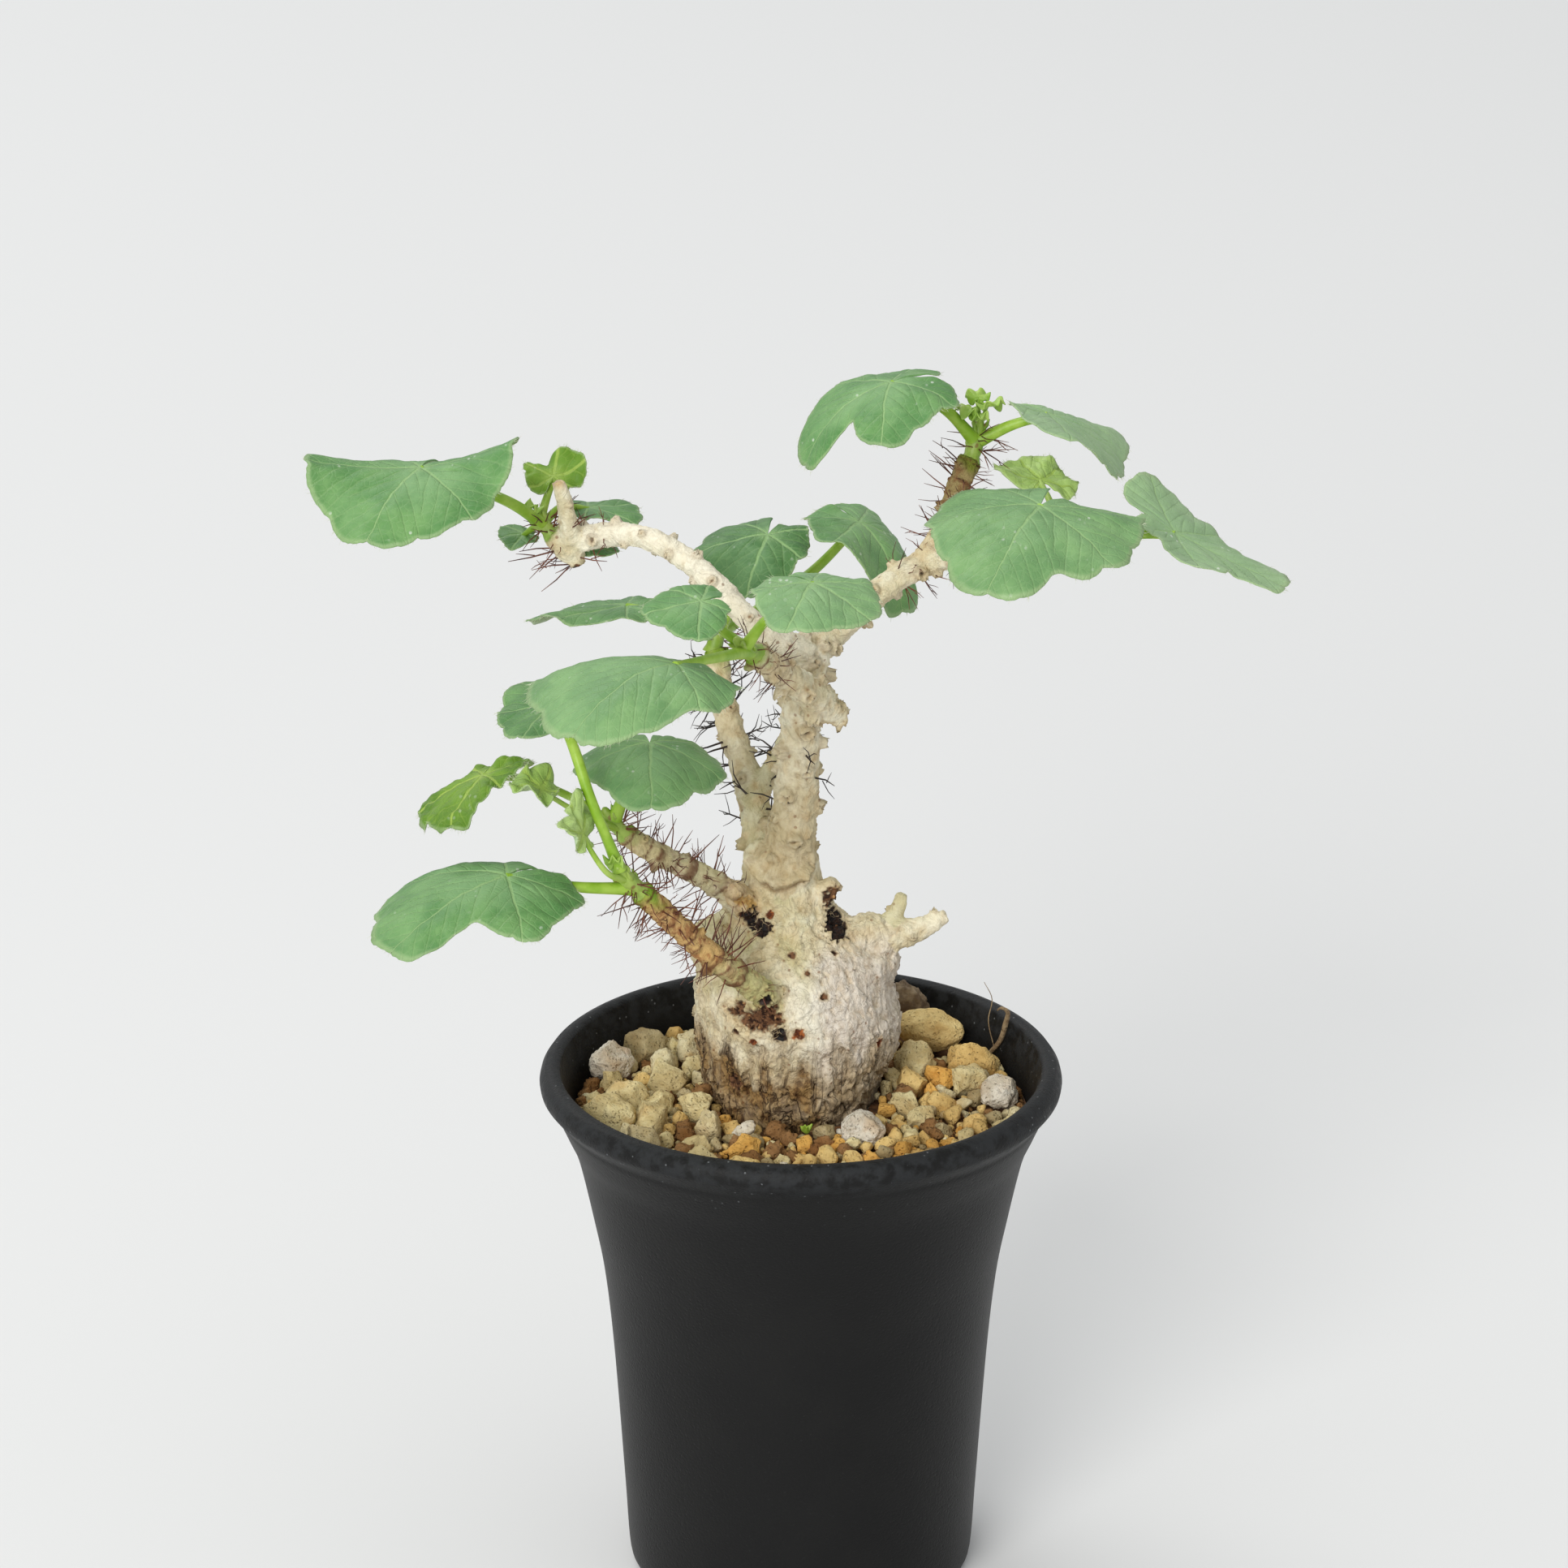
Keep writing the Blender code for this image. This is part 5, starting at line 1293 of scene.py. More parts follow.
def gravel():
    """The bed of soil, the large stones, three sizes of filler between them, and clumps of brown soil."""
    top = inside_radius(BED_TOP) - GAP
    gravel_bed(top)
    stone = mineral("gravel", STONE_COLOURS, 0.7, (0.76, 0.66, 0.48))
    draw = random.Random(FILLER_SEED)
    taken = [(item.middle[0], item.middle[1], max(item.halves[:2])) for item in LOOSE_STONES.values()]
    points = []
    for x, y, z, radius in stone_places():
        if y < -8 and x > -24:
            radius *= 0.80
        size = any_size(draw, radius, (1.00, 1.30), (0.90, 1.12), (0.84, 1.05))
        points.append(((x, y, z), any_aim(draw), size, stone_tint(draw, x, y, 0)))
        taken.append((x, y, radius))
    shapes = [pebble(seed, 4) for seed in range(9)]
    show("gravel_stones", scatter(shapes, points, 1, stone), [stone], "gravel")

    clumps = []
    for name, smallest, largest, tries, rise, level in FILLERS:
        points = []
        mine = []
        for x, y, radius in filler_places(draw, smallest, largest, tries, top, taken):
            mine.append((x, y, radius))
            size = any_size(draw, radius, (0.85, 1.25), (0.8, 1.1), (0.7, 1))
            tint = draw.choice(CRUMB_TINTS) if smallest < FINEST else stone_tint(draw, x, y, 1)
            place = (x, y, BED_TOP + rise * radius - 0.3 + 0.9 * fade(-y, 8, 22))
            heap = clumps if tint == STONE_KINDS["brown"] and smallest > FINEST else points
            heap.append((place, any_aim(draw), size, tint))
        if smallest > 1:
            taken += mine
        shapes = [pebble(40 + seed, level) for seed in range(7)]
        show(name, scatter(shapes, points, 2, stone), [stone], "gravel")
    shapes = [pebble(60 + seed, 3, cuts=4, depth=(0.7, 0.95), rough=0.55) for seed in range(6)]
    show("gravel_clumps", scatter(shapes, clumps, 3, stone), [stone], "gravel")


def loose_stones():
    """The five larger stones that lie on the gravel."""
    looks = {
        "tan_stone": mineral("tan_stone", ((0.0, (0.88, 0.68, 0.31)),), 0.5, (0.74, 0.64, 0.5)),
        "bark_chip": dry_skin("bark_chip", (0.13, 0.085, 0.05), (0.36, 0.27, 0.17), 2.4),
        "pumice": mineral("pumice", ((0.0, (0.82, 0.77, 0.66)),), 0.8, (0.8, 0.72, 0.66)),
    }
    for seed, (name, item) in enumerate(LOOSE_STONES.items()):
        cuts, rough, holes = LOOSE_SHAPES[item.look]
        mesh = pebble(70 + seed, 5, cuts, (0.72, 0.95), rough, holes)
        tilt = Matrix.Rotation(math.radians(item.turn * 0.4), 4, "X")
        turn = Matrix.Rotation(math.radians(item.turn), 4, "Z")
        size = Matrix.Diagonal(Vector((*(half * 1.08 * MM for half in item.halves), 1)))
        mesh.transform(Matrix.Translation(Vector(item.middle) * MM) @ (tilt @ turn) @ size)
        tint = mesh.attributes.new("tint", "FLOAT", "POINT")
        tint.data.foreach_set("value", [0.5] * len(mesh.vertices))
        show(f"fine_{name}", mesh, [looks[item.look]], item.look, name)


def caudex_radius(height):
    for low, high in zip(CAUDEX_ROWS, CAUDEX_ROWS[1:]):
        if height <= high[0]:
            return low[1] + (high[1] - low[1]) * (height - low[0]) / (high[0] - low[0])
    return 0.0


def caudex(grow=0.0):
    """The swollen stem and its root, turned from its rows, pushed out of round, and grown if need be."""
    rows = along([(row[1], row[0], row[2], row[3]) for row in CAUDEX_ROWS], 1.2)
    rows = [(max(row.x, 0.0), row.y, row.z, row.w) for row in rows]
    rows[0] = (0.0, *rows[0][1:])
    rows[-1] = (0.0, *rows[-1][1:])
    mesh = turned([(row[0], row[1]) for row in reversed(rows)], CAUDEX_SIDES)
    heights = [row[1] for row in rows]
    for corner in mesh.vertices:
        height = corner.co.z / MM
        flat = Vector((corner.co.x, corner.co.y)) / MM
        compass = math.degrees(math.atan2(flat.y, flat.x))
        push = grow if flat.length > 0.01 else 0.0
        for lump in (*LUMPS, FOOT_LUMP, SHOULDER_LUMP):
            off = (compass - lump.compass + 180) % 360 - 180
            near = math.exp(-((off / lump.spread) ** 2) - ((height - lump.height) / lump.tall) ** 2)
            push += lump.out * near * (flat.length > 2)
        push += 0.7 * noise.noise(Vector((flat.x, flat.y, height)) * 0.16) * min(1, flat.length / 6)
        flat += flat.normalized() * push
        x = np.interp(height, heights, [row[2] for row in rows])
        y = np.interp(height, heights, [row[3] for row in rows])
        corner.co = Vector((flat.x + x, flat.y + y, height)) * MM
    return mesh


def scar_places():
    """(middle, radius, raggedness) of every leaf scar, spiralling up its branch."""
    draw = random.Random(SCAR_SEED)
    found = []
    for name, count in SCARS.items():
        for index in range(count):
            middle, ahead, radius = at(BRANCHES[name], (index + 0.6) / (count + 0.2))
            out = sideways(ahead, index * GOLDEN_ANGLE + draw.uniform(-0.3, 0.3))
            size = SCAR_RADIUS * draw.uniform(0.65, 1.15) * min(1.0, radius / 3.1)
            found.append((middle + out * radius, size, draw.uniform(0.20, 0.42)))
    return [*found, *CUT_ENDS]


def branch_zones(name, share):
    """The bark zones on a branch at a share of its length."""
    tip = {"green": fade(share, 0.93, 1.0)}
    if name == "low_front":
        olive = 0.85 * fade(share, 0.17, 0.25) * fade(share, 0.60, 0.46)
        return {**tip, "tan": 0.92 * fade(share, 0.38, 0.58), "olive": olive}
    if name == "low_back":
        return {**tip, "olive": 0.32 * fade(share, 0.20, 0.40), "tan": 0.30 * fade(share, 0.55, 0.80)}
    if name in ("right", "right_side"):
        young = fade(share, 0.70, 0.84)
        twig_tan_and_shade = fade(share, 0.40, 0.70)
        return {**tip, "twig_tan_and_shade": twig_tan_and_shade, "olive": 0.75 * young, "tan": 0.45 * young, "node": 0.60 * young}
    if name == "back_stem":
        return {**tip, "twig_tan_and_shade": 0.6 * fade(share, 0.40, 0.80), "moss": 0.5 * fade(share, 0.60, 0.25)}
    if name in ("front", "west_knee"):
        return {**tip, "twig_tan_and_shade": 0.6 * fade(share, 0.40, 0.80)}
    if name == "trunk":
        # Near the trunk's foot the bark is painted darker tan and creased darker: painted shade there.
        foot = fade(share, 0.60, 0.20)
        moss = 0.45 * fade(share, 0.60, 0.25)
        return {"white": 0.2, "twig_tan_and_shade": 0.15 + 0.45 * foot, "crease_shade": 0.36 * foot, "moss": moss}
    if name == "west_stub":
        return {"tan": 0.6 * fade(share, 0.85, 1.0)}
    if name == "cut_stub":
        return {"tan": 0.35, "twig_tan_and_shade": 0.3}
    if name in ("arm_up", "shoulder", "back_twig"):
        return {"moss": 0.6}
    return {"twig_tan_and_shade": 0.1, "white": 0.7 if name == "west" else 0.0}


def node_band(name, share, spot):
    """How much of a dark band at a node lies at a share of a branch's length."""
    if name not in NODES:
        return 0.0
    count, start = NODES[name]
    off = abs((share * count + 0.25 * math.sin(share * 37)) % 1 - 0.5)
    return fade(off, 0.14, 0.05) * fade(share, start, start + 0.1) * fade(noise.noise(spot * 0.9), -0.5, -0.1)


def patches(spot, scale, shift, low, high):
    """Soft patches: 0 where the noise is under low, 1 over high. The shift sets them apart from others."""
    return fade(noise.noise(spot * scale + Vector(shift)), low, high)


def flake(spot, size):
    """Height of overlapping flakes about this wide, each tilted its own way, and how near their edges are."""
    place = Vector((spot.x, spot.y, 0.55 * spot.z)) / size
    distances, middles = noise.voronoi(place)
    lean = noise.noise_vector(middles[0] * 7.3)
    return size * (place - middles[0]).dot(lean), fade(distances[1] - distances[0], 0.14, 0.02)


def limb_bark(spot, name, share, radius, band):
    """The relief of a branch's bark at a place, and its zones. A node's band lies there this strongly."""
    zones = branch_zones(name, share + 0.08 * noise.noise(spot * 0.35))
    swell = 0.26 * noise.noise(spot * 0.50) + 0.20 * noise.noise(spot * 1.2)
    swell += 0.06 * math.tanh(4 * noise.noise(spot * 2.0))
    swell *= min(1.0, radius / 3.0)
    chip, _ = flake(spot + noise.noise_vector(spot) * 0.5, 1.4)
    chip *= 0.50 * min(1.0, radius / 3.2)
    stain = patches(spot, 0.5, (0, 0, 7), 0.08, 0.34) if name in STAINED else 0.0
    # Hollows between the swells are painted darker tan and creased darker: painted shade in them.
    hollow = fade(-swell - chip, 0.05, 0.35)
    zones["node"] = max(zones.get("node", 0.0), band)
    zones["twig_tan_and_shade"] = max(zones.get("twig_tan_and_shade", 0.0), 0.85 * stain, 0.6 * hollow)
    zones["crease_shade"] = max(zones.get("crease_shade", 0.0), 0.45 * fade(-swell, 0.08, 0.25))
    return swell + chip, zones


def collar_bark(spot):
    """The fold of bark that hangs round the trunk's foot: its relief at a place, and its zones."""
    across = spot.x - COLLAR_MIDDLE[0]
    deep = spot.y - COLLAR_MIDDLE[1]
    off = (math.degrees(math.atan2(deep, across)) + 98) / 62
    if not 121 < spot.z < 135 or math.hypot(across, deep) >= 7.5 or abs(off) > 1.25:
        return 0.0, {}
    level = spot.z - (COLLAR_MIDDLE[2] + (4.0 if off < 0 else 2.4) * off**2 + 0.7 * noise.noise(spot * 0.6))
    ends = fade(1.25 - abs(off), 0, 0.3)
    fold = 1.5 * ends * math.exp(-(((level - 1.2) / 1.0) ** 2))
    # The crease under the fold is painted dark: painted shade under the overhang.
    crease = ends * math.exp(-((level / 0.42) ** 2))
    return fold - 1.3 * crease, {"crease_shade": crease}


def caudex_bark(spot):
    """The relief of the caudex's bark at a place, and its zones."""
    streaks = 6 * noise.noise(Vector((spot.x * 0.45, spot.y * 0.45, spot.z * 0.07)))
    foot = fade(99.5 + 3 * noise.noise(spot * 0.13) + streaks - spot.z, -1.5, 5.5)
    bent = spot + noise.noise_vector(spot * 0.35) * 1.2
    lump = noise.fractal(bent * 0.28, 0.8, 2.0, 3)
    plate, border = flake(bent, 2.3)
    chip, _ = flake(spot + noise.noise_vector(spot) * 0.5, 1.1)
    tall = Vector((bent.x * 0.70, bent.y * 0.70, bent.z * 0.12))
    split = fade(abs(noise.noise(tall)), 0.10, 0.02) * patches(spot, 0.35, (5, 0, 0), -0.3, 0.1)
    cracks = split * max(foot, 0.6 * fade(spot.z, 106, 98))
    # The right side is painted grey: partly the bark's own lilac-grey, partly painted shade on the side away
    # from the key light.
    right = fade(spot.x + 2.5 * noise.noise(spot * 0.2), 1.5, 4.5) * fade(spot.z, 119, 114)
    left = fade(spot.x, 4.0, -2.0) * fade(spot.z, 103, 108)
    # The last kind of tan lies in the low places between plates and chips: painted shade there.
    twigs = (
        0.55 * fade(spot.x, 3.0, -5.0) * patches(spot, 0.3, (3, 0, 0), -0.3, 0.2),
        0.60 * fade(spot.z, 112, 118) * patches(spot, 0.45, (0, 0, 3), -0.2, 0.2),
        0.45 * fade(-0.50 * plate - 0.58 * chip, 0.02, 0.40),
    )
    zones = {
        "base": foot * (1 - 0.40 * right),
        "twig_tan_and_shade": max(twigs),
        "body": 1.0,
        # Cracks and the borders of the plates are painted dark: painted shade in them.
        "crease_shade": max(cracks, (0.25 + 0.4 * foot) * border * patches(spot, 0.5, (0, 0, 0), -0.2, 0.2)),
        "grey": right * (1 - 0.7 * foot),
        "moss": left * max(patches(spot, 0.24, (0, 9, 0), -0.15, 0.20), 0.4 * fade(spot.z, 110, 118)),
        # A painted highlight on the caudex's front, fading out from its middle
        "white": math.exp(-(((spot - PAINTED_HIGHLIGHT_MIDDLE).length / 7.0) ** 2)),
    }
    return 0.30 * lump + 0.50 * plate * (1 + 0.5 * foot) + 0.58 * chip - 0.9 * cracks, zones


def wood_shape():
    """One closed skin over the caudex and all the branches."""
    routes = []
    for name, route in LIMBS.items():
        spots = along(route, 0.9)
        slim = SLIMMER.get(name, 1.0)
        root = ROOTS.get(name, 1.0)
        for index, spot in enumerate(spots):
            width = root + (1 - root) * fade(index / len(spots), 0.13, 0.22)
            spot.w *= slim * width * (1 + 0.06 * noise.noise(spot.xyz * 0.55))
        routes.append([tuple(spot) for spot in spots])
    shape = bmesh.new()
    shape.from_mesh(rods(routes, LIMB_SIDES))
    shape.from_mesh(caudex())
    obj = linked(from_bmesh(shape))
    skin = obj.modifiers.new("skin", "REMESH")
    skin.mode = "VOXEL"
    skin.voxel_size = BARK_VOXEL * MM
    ease = obj.modifiers.new("ease", "SMOOTH")
    ease.factor = 0.6
    ease.iterations = BARK_SMOOTHING
    return to_mesh(obj)


def search_tree(places):
    """A tree that finds the nearest of the places."""
    tree = kdtree.KDTree(len(places))
    for index, place in enumerate(places):
        tree.insert(place, index)
    tree.balance()
    return tree


def lay_on(zones, index, strength, bark_here):
    """Raises one place's zones to a bark's, at this strength, and gives back how far it pushes out."""
    relief, here = bark_here
    for name, value in here.items():
        zones[name][index] = max(zones[name][index], strength * value)
    return strength * relief


def add_scars(skin_points, zones, lift):
    """Lifts and paints a ring with a rusty hollow for each leaf scar."""
    for middle, radius, rough in scar_places():
        for spot, index, distance in skin_points.find_range(Vector(middle), 2.0 * radius):
            ragged = noise.noise(spot * 1.3) + 0.5 * noise.noise(spot * 3.0)
            far = distance / radius + rough * ragged
            swell = 0.62 * math.exp(-((far / 0.90) ** 4))
            ring = (0.72 + 2.5 * rough * ragged) * math.exp(-(((far - 0.64) / 0.24) ** 2))
            hollow = 0.85 * math.exp(-((far / 0.34) ** 2))
            # The dark ring just outside each scar is painted shade at the foot of its swell.
            here = {
                "rust": 0.7 * math.exp(-((far / 0.32) ** 4)),
                "twig_tan_and_shade": 0.65 * math.exp(-((far / 0.9) ** 6)),
                "crease_shade": 0.6 * math.exp(-(((far - 1.05) / 0.2) ** 2)),
            }
            rise = SCAR_HEIGHT * radius / SCAR_RADIUS * (swell + ring - hollow)
            lift[index] = max(lift[index], lay_on(zones, index, 1.0, (rise, here)))


def add_marks(skin_points, zones, push):
    """Sinks and paints the wounds and brown spots, with a low rim round each."""
    for middle, radius, depth, kind in MARKS:
        for spot, index, distance in skin_points.find_range(Vector(middle), 1.9 * radius):
            ragged = distance / radius + 0.45 * noise.noise(spot * 0.9) + 0.45 * noise.noise(spot * 2.1)
            inside = fade(ragged, 1.22, 0.75)
            crust = noise.noise(spot * 1.5) + 0.6 * noise.noise(spot * 3.1)
            rim = 0.3 * math.exp(-(((ragged - 1.15) / 0.2) ** 2))
            relief = inside * ((0.35 + 0.5 * depth) * crust - depth) + rim
            around = {"twig_tan_and_shade": 0.8 * fade(ragged, 1.75, 1.1)}
            push[index] += lay_on(zones, index, 1.0, (relief, around))
            zones[kind][index] = max(zones[kind][index], inside)


def thinned(mesh, triangles):
    """The mesh with its flattest edges collapsed until so many triangles are left."""
    mesh.calc_loop_triangles()
    obj = linked(mesh)
    step = obj.modifiers.new("thin", "DECIMATE")
    step.ratio = min(1.0, triangles / len(mesh.loop_triangles))
    return to_mesh(obj)


def wood():
    """The whole woody plant: one skin over the caudex and branches, then bark relief, scars and wounds."""
    mesh = wood_shape()
    spots = [corner.co / MM for corner in mesh.vertices]
    normals = [corner.normal.copy() for corner in mesh.vertices]
    middles = []
    owners = []
    for name, route in LIMBS.items():
        line = along(route, 0.25)
        middles += [spot.xyz for spot in line]
        owners += [(name, index / (len(line) - 1), spot.w) for index, spot in enumerate(line)]
    nearest = search_tree(middles)

    push = np.zeros(len(spots))
    zones = {name: np.zeros(len(spots)) for name in BARK_ZONES}
    for index, spot in enumerate(spots):
        _, owner, distance = nearest.find(spot)
        name, share, radius = owners[owner]
        body = fade(distance / radius, 1.15, 1.5) * fade(spot.z, 132, 124)
        if name in FLESHY:
            body = max(body, 0.85)
        band = node_band(name, share, spot)
        push[index] = NODE_SWELL * (1 - body) * band
        push[index] += lay_on(zones, index, 1 - body, limb_bark(spot, name, share, radius, band))
        push[index] += lay_on(zones, index, 1.0, collar_bark(spot))
        if body:
            push[index] += lay_on(zones, index, body, caudex_bark(spot))

    skin_points = search_tree(spots)
    lift = np.zeros(len(spots))
    add_scars(skin_points, zones, lift)
    push += lift
    add_marks(skin_points, zones, push)
    moved = [(spot + normal * out) * MM for spot, normal, out in zip(spots, normals, push)]
    mesh.vertices.foreach_set("co", np.array(moved).ravel())
    mesh.update()
    for name, values in zones.items():
        layer = mesh.attributes.new(name, "FLOAT", "POINT")
        layer.data.foreach_set("value", np.clip(values, 0, 1))
    mesh = thinned(mesh, BARK_TRIANGLES)
    mesh.shade_smooth()
    show("fine_plant", mesh, [bark()], "pale_bark", "plant")


def tuft(seed, most_arms):
    """A stiff bristle one unit long that rises from the origin along Z, with side arms."""
    draw = random.Random(seed)
    tip = Vector((draw.uniform(-0.15, 0.15), draw.uniform(-0.15, 0.15), 1))
    routes = []

    def hair(root, end, width):
        middle = (root + end) / 2 + Vector((draw.uniform(-0.05, 0.05), draw.uniform(-0.05, 0.05), 0.03))
        routes.append([(*root, width), (*middle, width * 0.8), (*end, width * 0.35)])

    hair(Vector((0, 0, 0)), tip, 0.020)
    arms = draw.randint(most_arms // 2, most_arms)
    for index in range(arms):
        share = draw.uniform(0.20, 0.75)
        turn = math.tau * (index + draw.uniform(-0.3, 0.3)) / arms
        tilt = math.radians(draw.uniform(22, 55))
        aim = Vector((math.sin(tilt) * math.cos(turn), math.sin(tilt) * math.sin(turn), math.cos(tilt)))
        hair(tip * share, tip * share + aim * draw.uniform(0.25, 0.55), 0.014)
    return hair_rods(routes)


def single_hair(seed):
    """A single hair one unit long."""
    draw = random.Random(seed)
    bend = Vector((draw.uniform(-0.12, 0.12), draw.uniform(-0.12, 0.12), 0.5))
    return hair_rods([[(0, 0, 0, 0.05), (*bend, 0.035), (0, 0, 1, 0.008)]])


def tuft_points(table, thick, blades, draw):
    """Points for tufts that fan out at nodes. Each is aimed afresh until it is clear of the blades."""
    points = []
    for name, start, end, nodes, each, shortest, longest in table:
        for index in range(nodes * each):
            node = (index // each + draw.uniform(0.35, 0.65)) / nodes
            middle, ahead, radius = at(BRANCHES.get(name) or BUDS[name], start + (end - start) * node)
            for _ in range(TUFT_TRIES):
                aim = sideways(ahead, draw.uniform(0, math.tau))
                out = (aim + ahead * draw.uniform(-0.35, 0.70)).normalized()
                length = shortest + (longest - shortest) * draw.random() ** 1.4
                root = middle + aim * (radius - TUFT_SUNK)
                tip = root + out * length
                tests = (tip, (tip + root) / 2)
                if all(blades.find_nearest(spot * MM, TUFT_CLEAR * MM)[0] is None for spot in tests):
                    wide = thick * length**0.6
                    points.append((root, out, (wide, wide, length + TUFT_SUNK), 0.0))
                    break
    return points


def bristles(blades):
    """Thin red-brown bristles on the younger twigs, and black ones with more arms on the back stem."""
    draw = random.Random(TUFT_SEED)
    for name, table, most_arms, thick, dark, light in BRISTLES:
        material = two_tone(name, dark, light, 3.0)
        shapes = [tuft(seed, most_arms) for seed in range(6)]
        mesh = scatter(shapes, tuft_points(table, thick, blades, draw), 4, material)
        show(name, mesh, [material], "pale_bark")


def blade_frame(leaf):
    """The middle vein's direction, the blade's left and its upper side."""
    heading, rise, roll = (math.radians(angle) for angle in leaf.facing)
    forward = Vector((math.cos(rise) * math.cos(heading), math.cos(rise) * math.sin(heading), math.sin(rise)))
    level = Vector((-math.sin(heading), math.cos(heading), 0))
    up = forward.cross(level)
    return forward, level * math.cos(roll) + up * math.sin(roll), up * math.cos(roll) - level * math.sin(roll)


def between_veins(values, angles):
    """A value given at the five veins, eased from one vein to the next."""
    spread = np.clip(angles / VEIN_SPREAD + 2, 0, 3.999)
    first = spread.astype(int)
    ease = (1 - np.cos(np.pi * (spread - first))) / 2
    values = np.array(values, float)
    return values[first] * (1 - ease) + values[first + 1] * ease


def blade_reach(leaf, angles):
    """How far the blade reaches from its hub at each angle to the middle vein."""
    reach = between_veins(leaf.veins, angles) * (1 - SINUS * np.sin(np.pi * angles / VEIN_SPREAD) ** 2)
    past = np.maximum(0.0, (np.abs(angles) - 2 * VEIN_SPREAD) / (BLADE_OPEN - 2 * VEIN_SPREAD))
    reach *= 1 - 0.4 * past**2
    for middle, width, depth in leaf.bites:
        reach *= 1 - depth * np.exp(-(((angles - middle) / width) ** 2))
    return reach


def teeth(leaf, angles, reach):
    """The edge's coarse scallops and the fine teeth on them, as a share of the reach."""
    pitch = 2 * BLADE_OPEN / (24 if max(leaf.veins) > LARGE_LEAF else 16)
    coarse = 2 * np.abs(np.sin(np.pi * (angles + BLADE_OPEN) / (2 * pitch))) ** 0.8 - 1
    run = np.cumsum(reach * np.radians(np.gradient(angles)))
    drift = np.array([noise.noise(Vector((far * 0.4, leaf.hub[0], 0))) for far in run])
    fine = np.abs(np.sin(np.pi * (run / TOOTH_PITCH + 0.8 * drift))) - 0.6
    return TOOTH * coarse * (0.8 + 0.5 * drift) + FINE_TOOTH * fine / reach


def vein_relief(flat):
    """How much of a main vein, a side vein and the puffed skin between them lies at each flat place."""
    out = np.hypot(flat[..., 0], flat[..., 1])
    turn = np.degrees(np.arctan2(flat[..., 1], flat[..., 0]))
    off = np.radians(turn - VEIN_SPREAD * np.clip(np.round(turn / VEIN_SPREAD), -2, 2))
    forth = out * np.cos(off)
    side = np.abs(out * np.sin(off))
    main = np.exp(-((side / 0.55) ** 2))
    leave = forth - SIDE_VEIN_LEAN * side + (off > 0) * SIDE_VEIN_PITCH / 2
    rib = np.abs((leave / SIDE_VEIN_PITCH) % 1 - 0.5) * SIDE_VEIN_PITCH
    branch = np.exp(-(((SIDE_VEIN_PITCH / 2 - rib) / 0.45) ** 2)) * np.clip(leave - 1.0, 0, 1)
    puff = (1 - np.exp(-((side / 1.7) ** 2))) * (1 - 0.6 * branch)
    return main, branch, puff


def blade_sheet(leaf, young, folds):
    """The blade's grid of places, normals, flat places and shares: rings out from the hub, steps round it."""
    rings, steps = BLADE_GRID[max(leaf.veins) > LARGE_LEAF]
    angles = np.linspace(-BLADE_OPEN, BLADE_OPEN, steps + 1)
    share = (np.linspace(0, 1, rings + 1) ** 0.9)[:, None]
    reach = blade_reach(leaf, angles)
    out = share * reach * (1 + teeth(leaf, angles, reach) * share**6)
    forward, left, up = (np.array(axis) for axis in blade_frame(leaf))
    turn = np.radians(angles)
    bend = between_veins(leaf.droop, angles) * MM
    bend = np.where(np.abs(bend) > 1e-6, bend, 1e-6)
    height, phase = leaf.ripple
    more, fineness, tall = CRIMPS[young]
    wave = (height + more) * share**2 * np.cos(6 * turn + math.radians(phase))
    level = np.sin(bend * out) / bend
    drop = (1 - np.cos(bend * out)) / bend
    across = np.outer(np.cos(turn), forward) + np.outer(np.sin(turn), left)
    places = np.array(leaf.hub) + level[..., None] * across + (wave - drop)[..., None] * up
    flat = np.stack([out * np.cos(turn), out * np.sin(turn)], axis=-1)
    hub = Vector(leaf.hub)
    crimp = [[noise.noise(Vector((*spot, 0)) * fineness + hub) for spot in row] for row in flat]
    places += (tall * np.array(crimp) * share**1.5)[..., None] * up
    lift = sum(high * np.exp(-(((angles - middle) / width) ** 2)) for middle, width, high in folds)
    places[..., 2] += lift * share**2
    rows = np.gradient(places, axis=0)
    columns = np.gradient(places, axis=1)
    normals = np.cross(rows, columns)
    normals /= np.maximum(np.linalg.norm(normals, axis=-1, keepdims=True), 1e-9)
    normals *= np.sign((normals @ up))[..., None] + ((normals @ up) == 0)[..., None]
    normals[0] = normals[1].mean(axis=0) / np.linalg.norm(normals[1].mean(axis=0))
    return places, normals, flat, np.broadcast_to(share, out.shape)


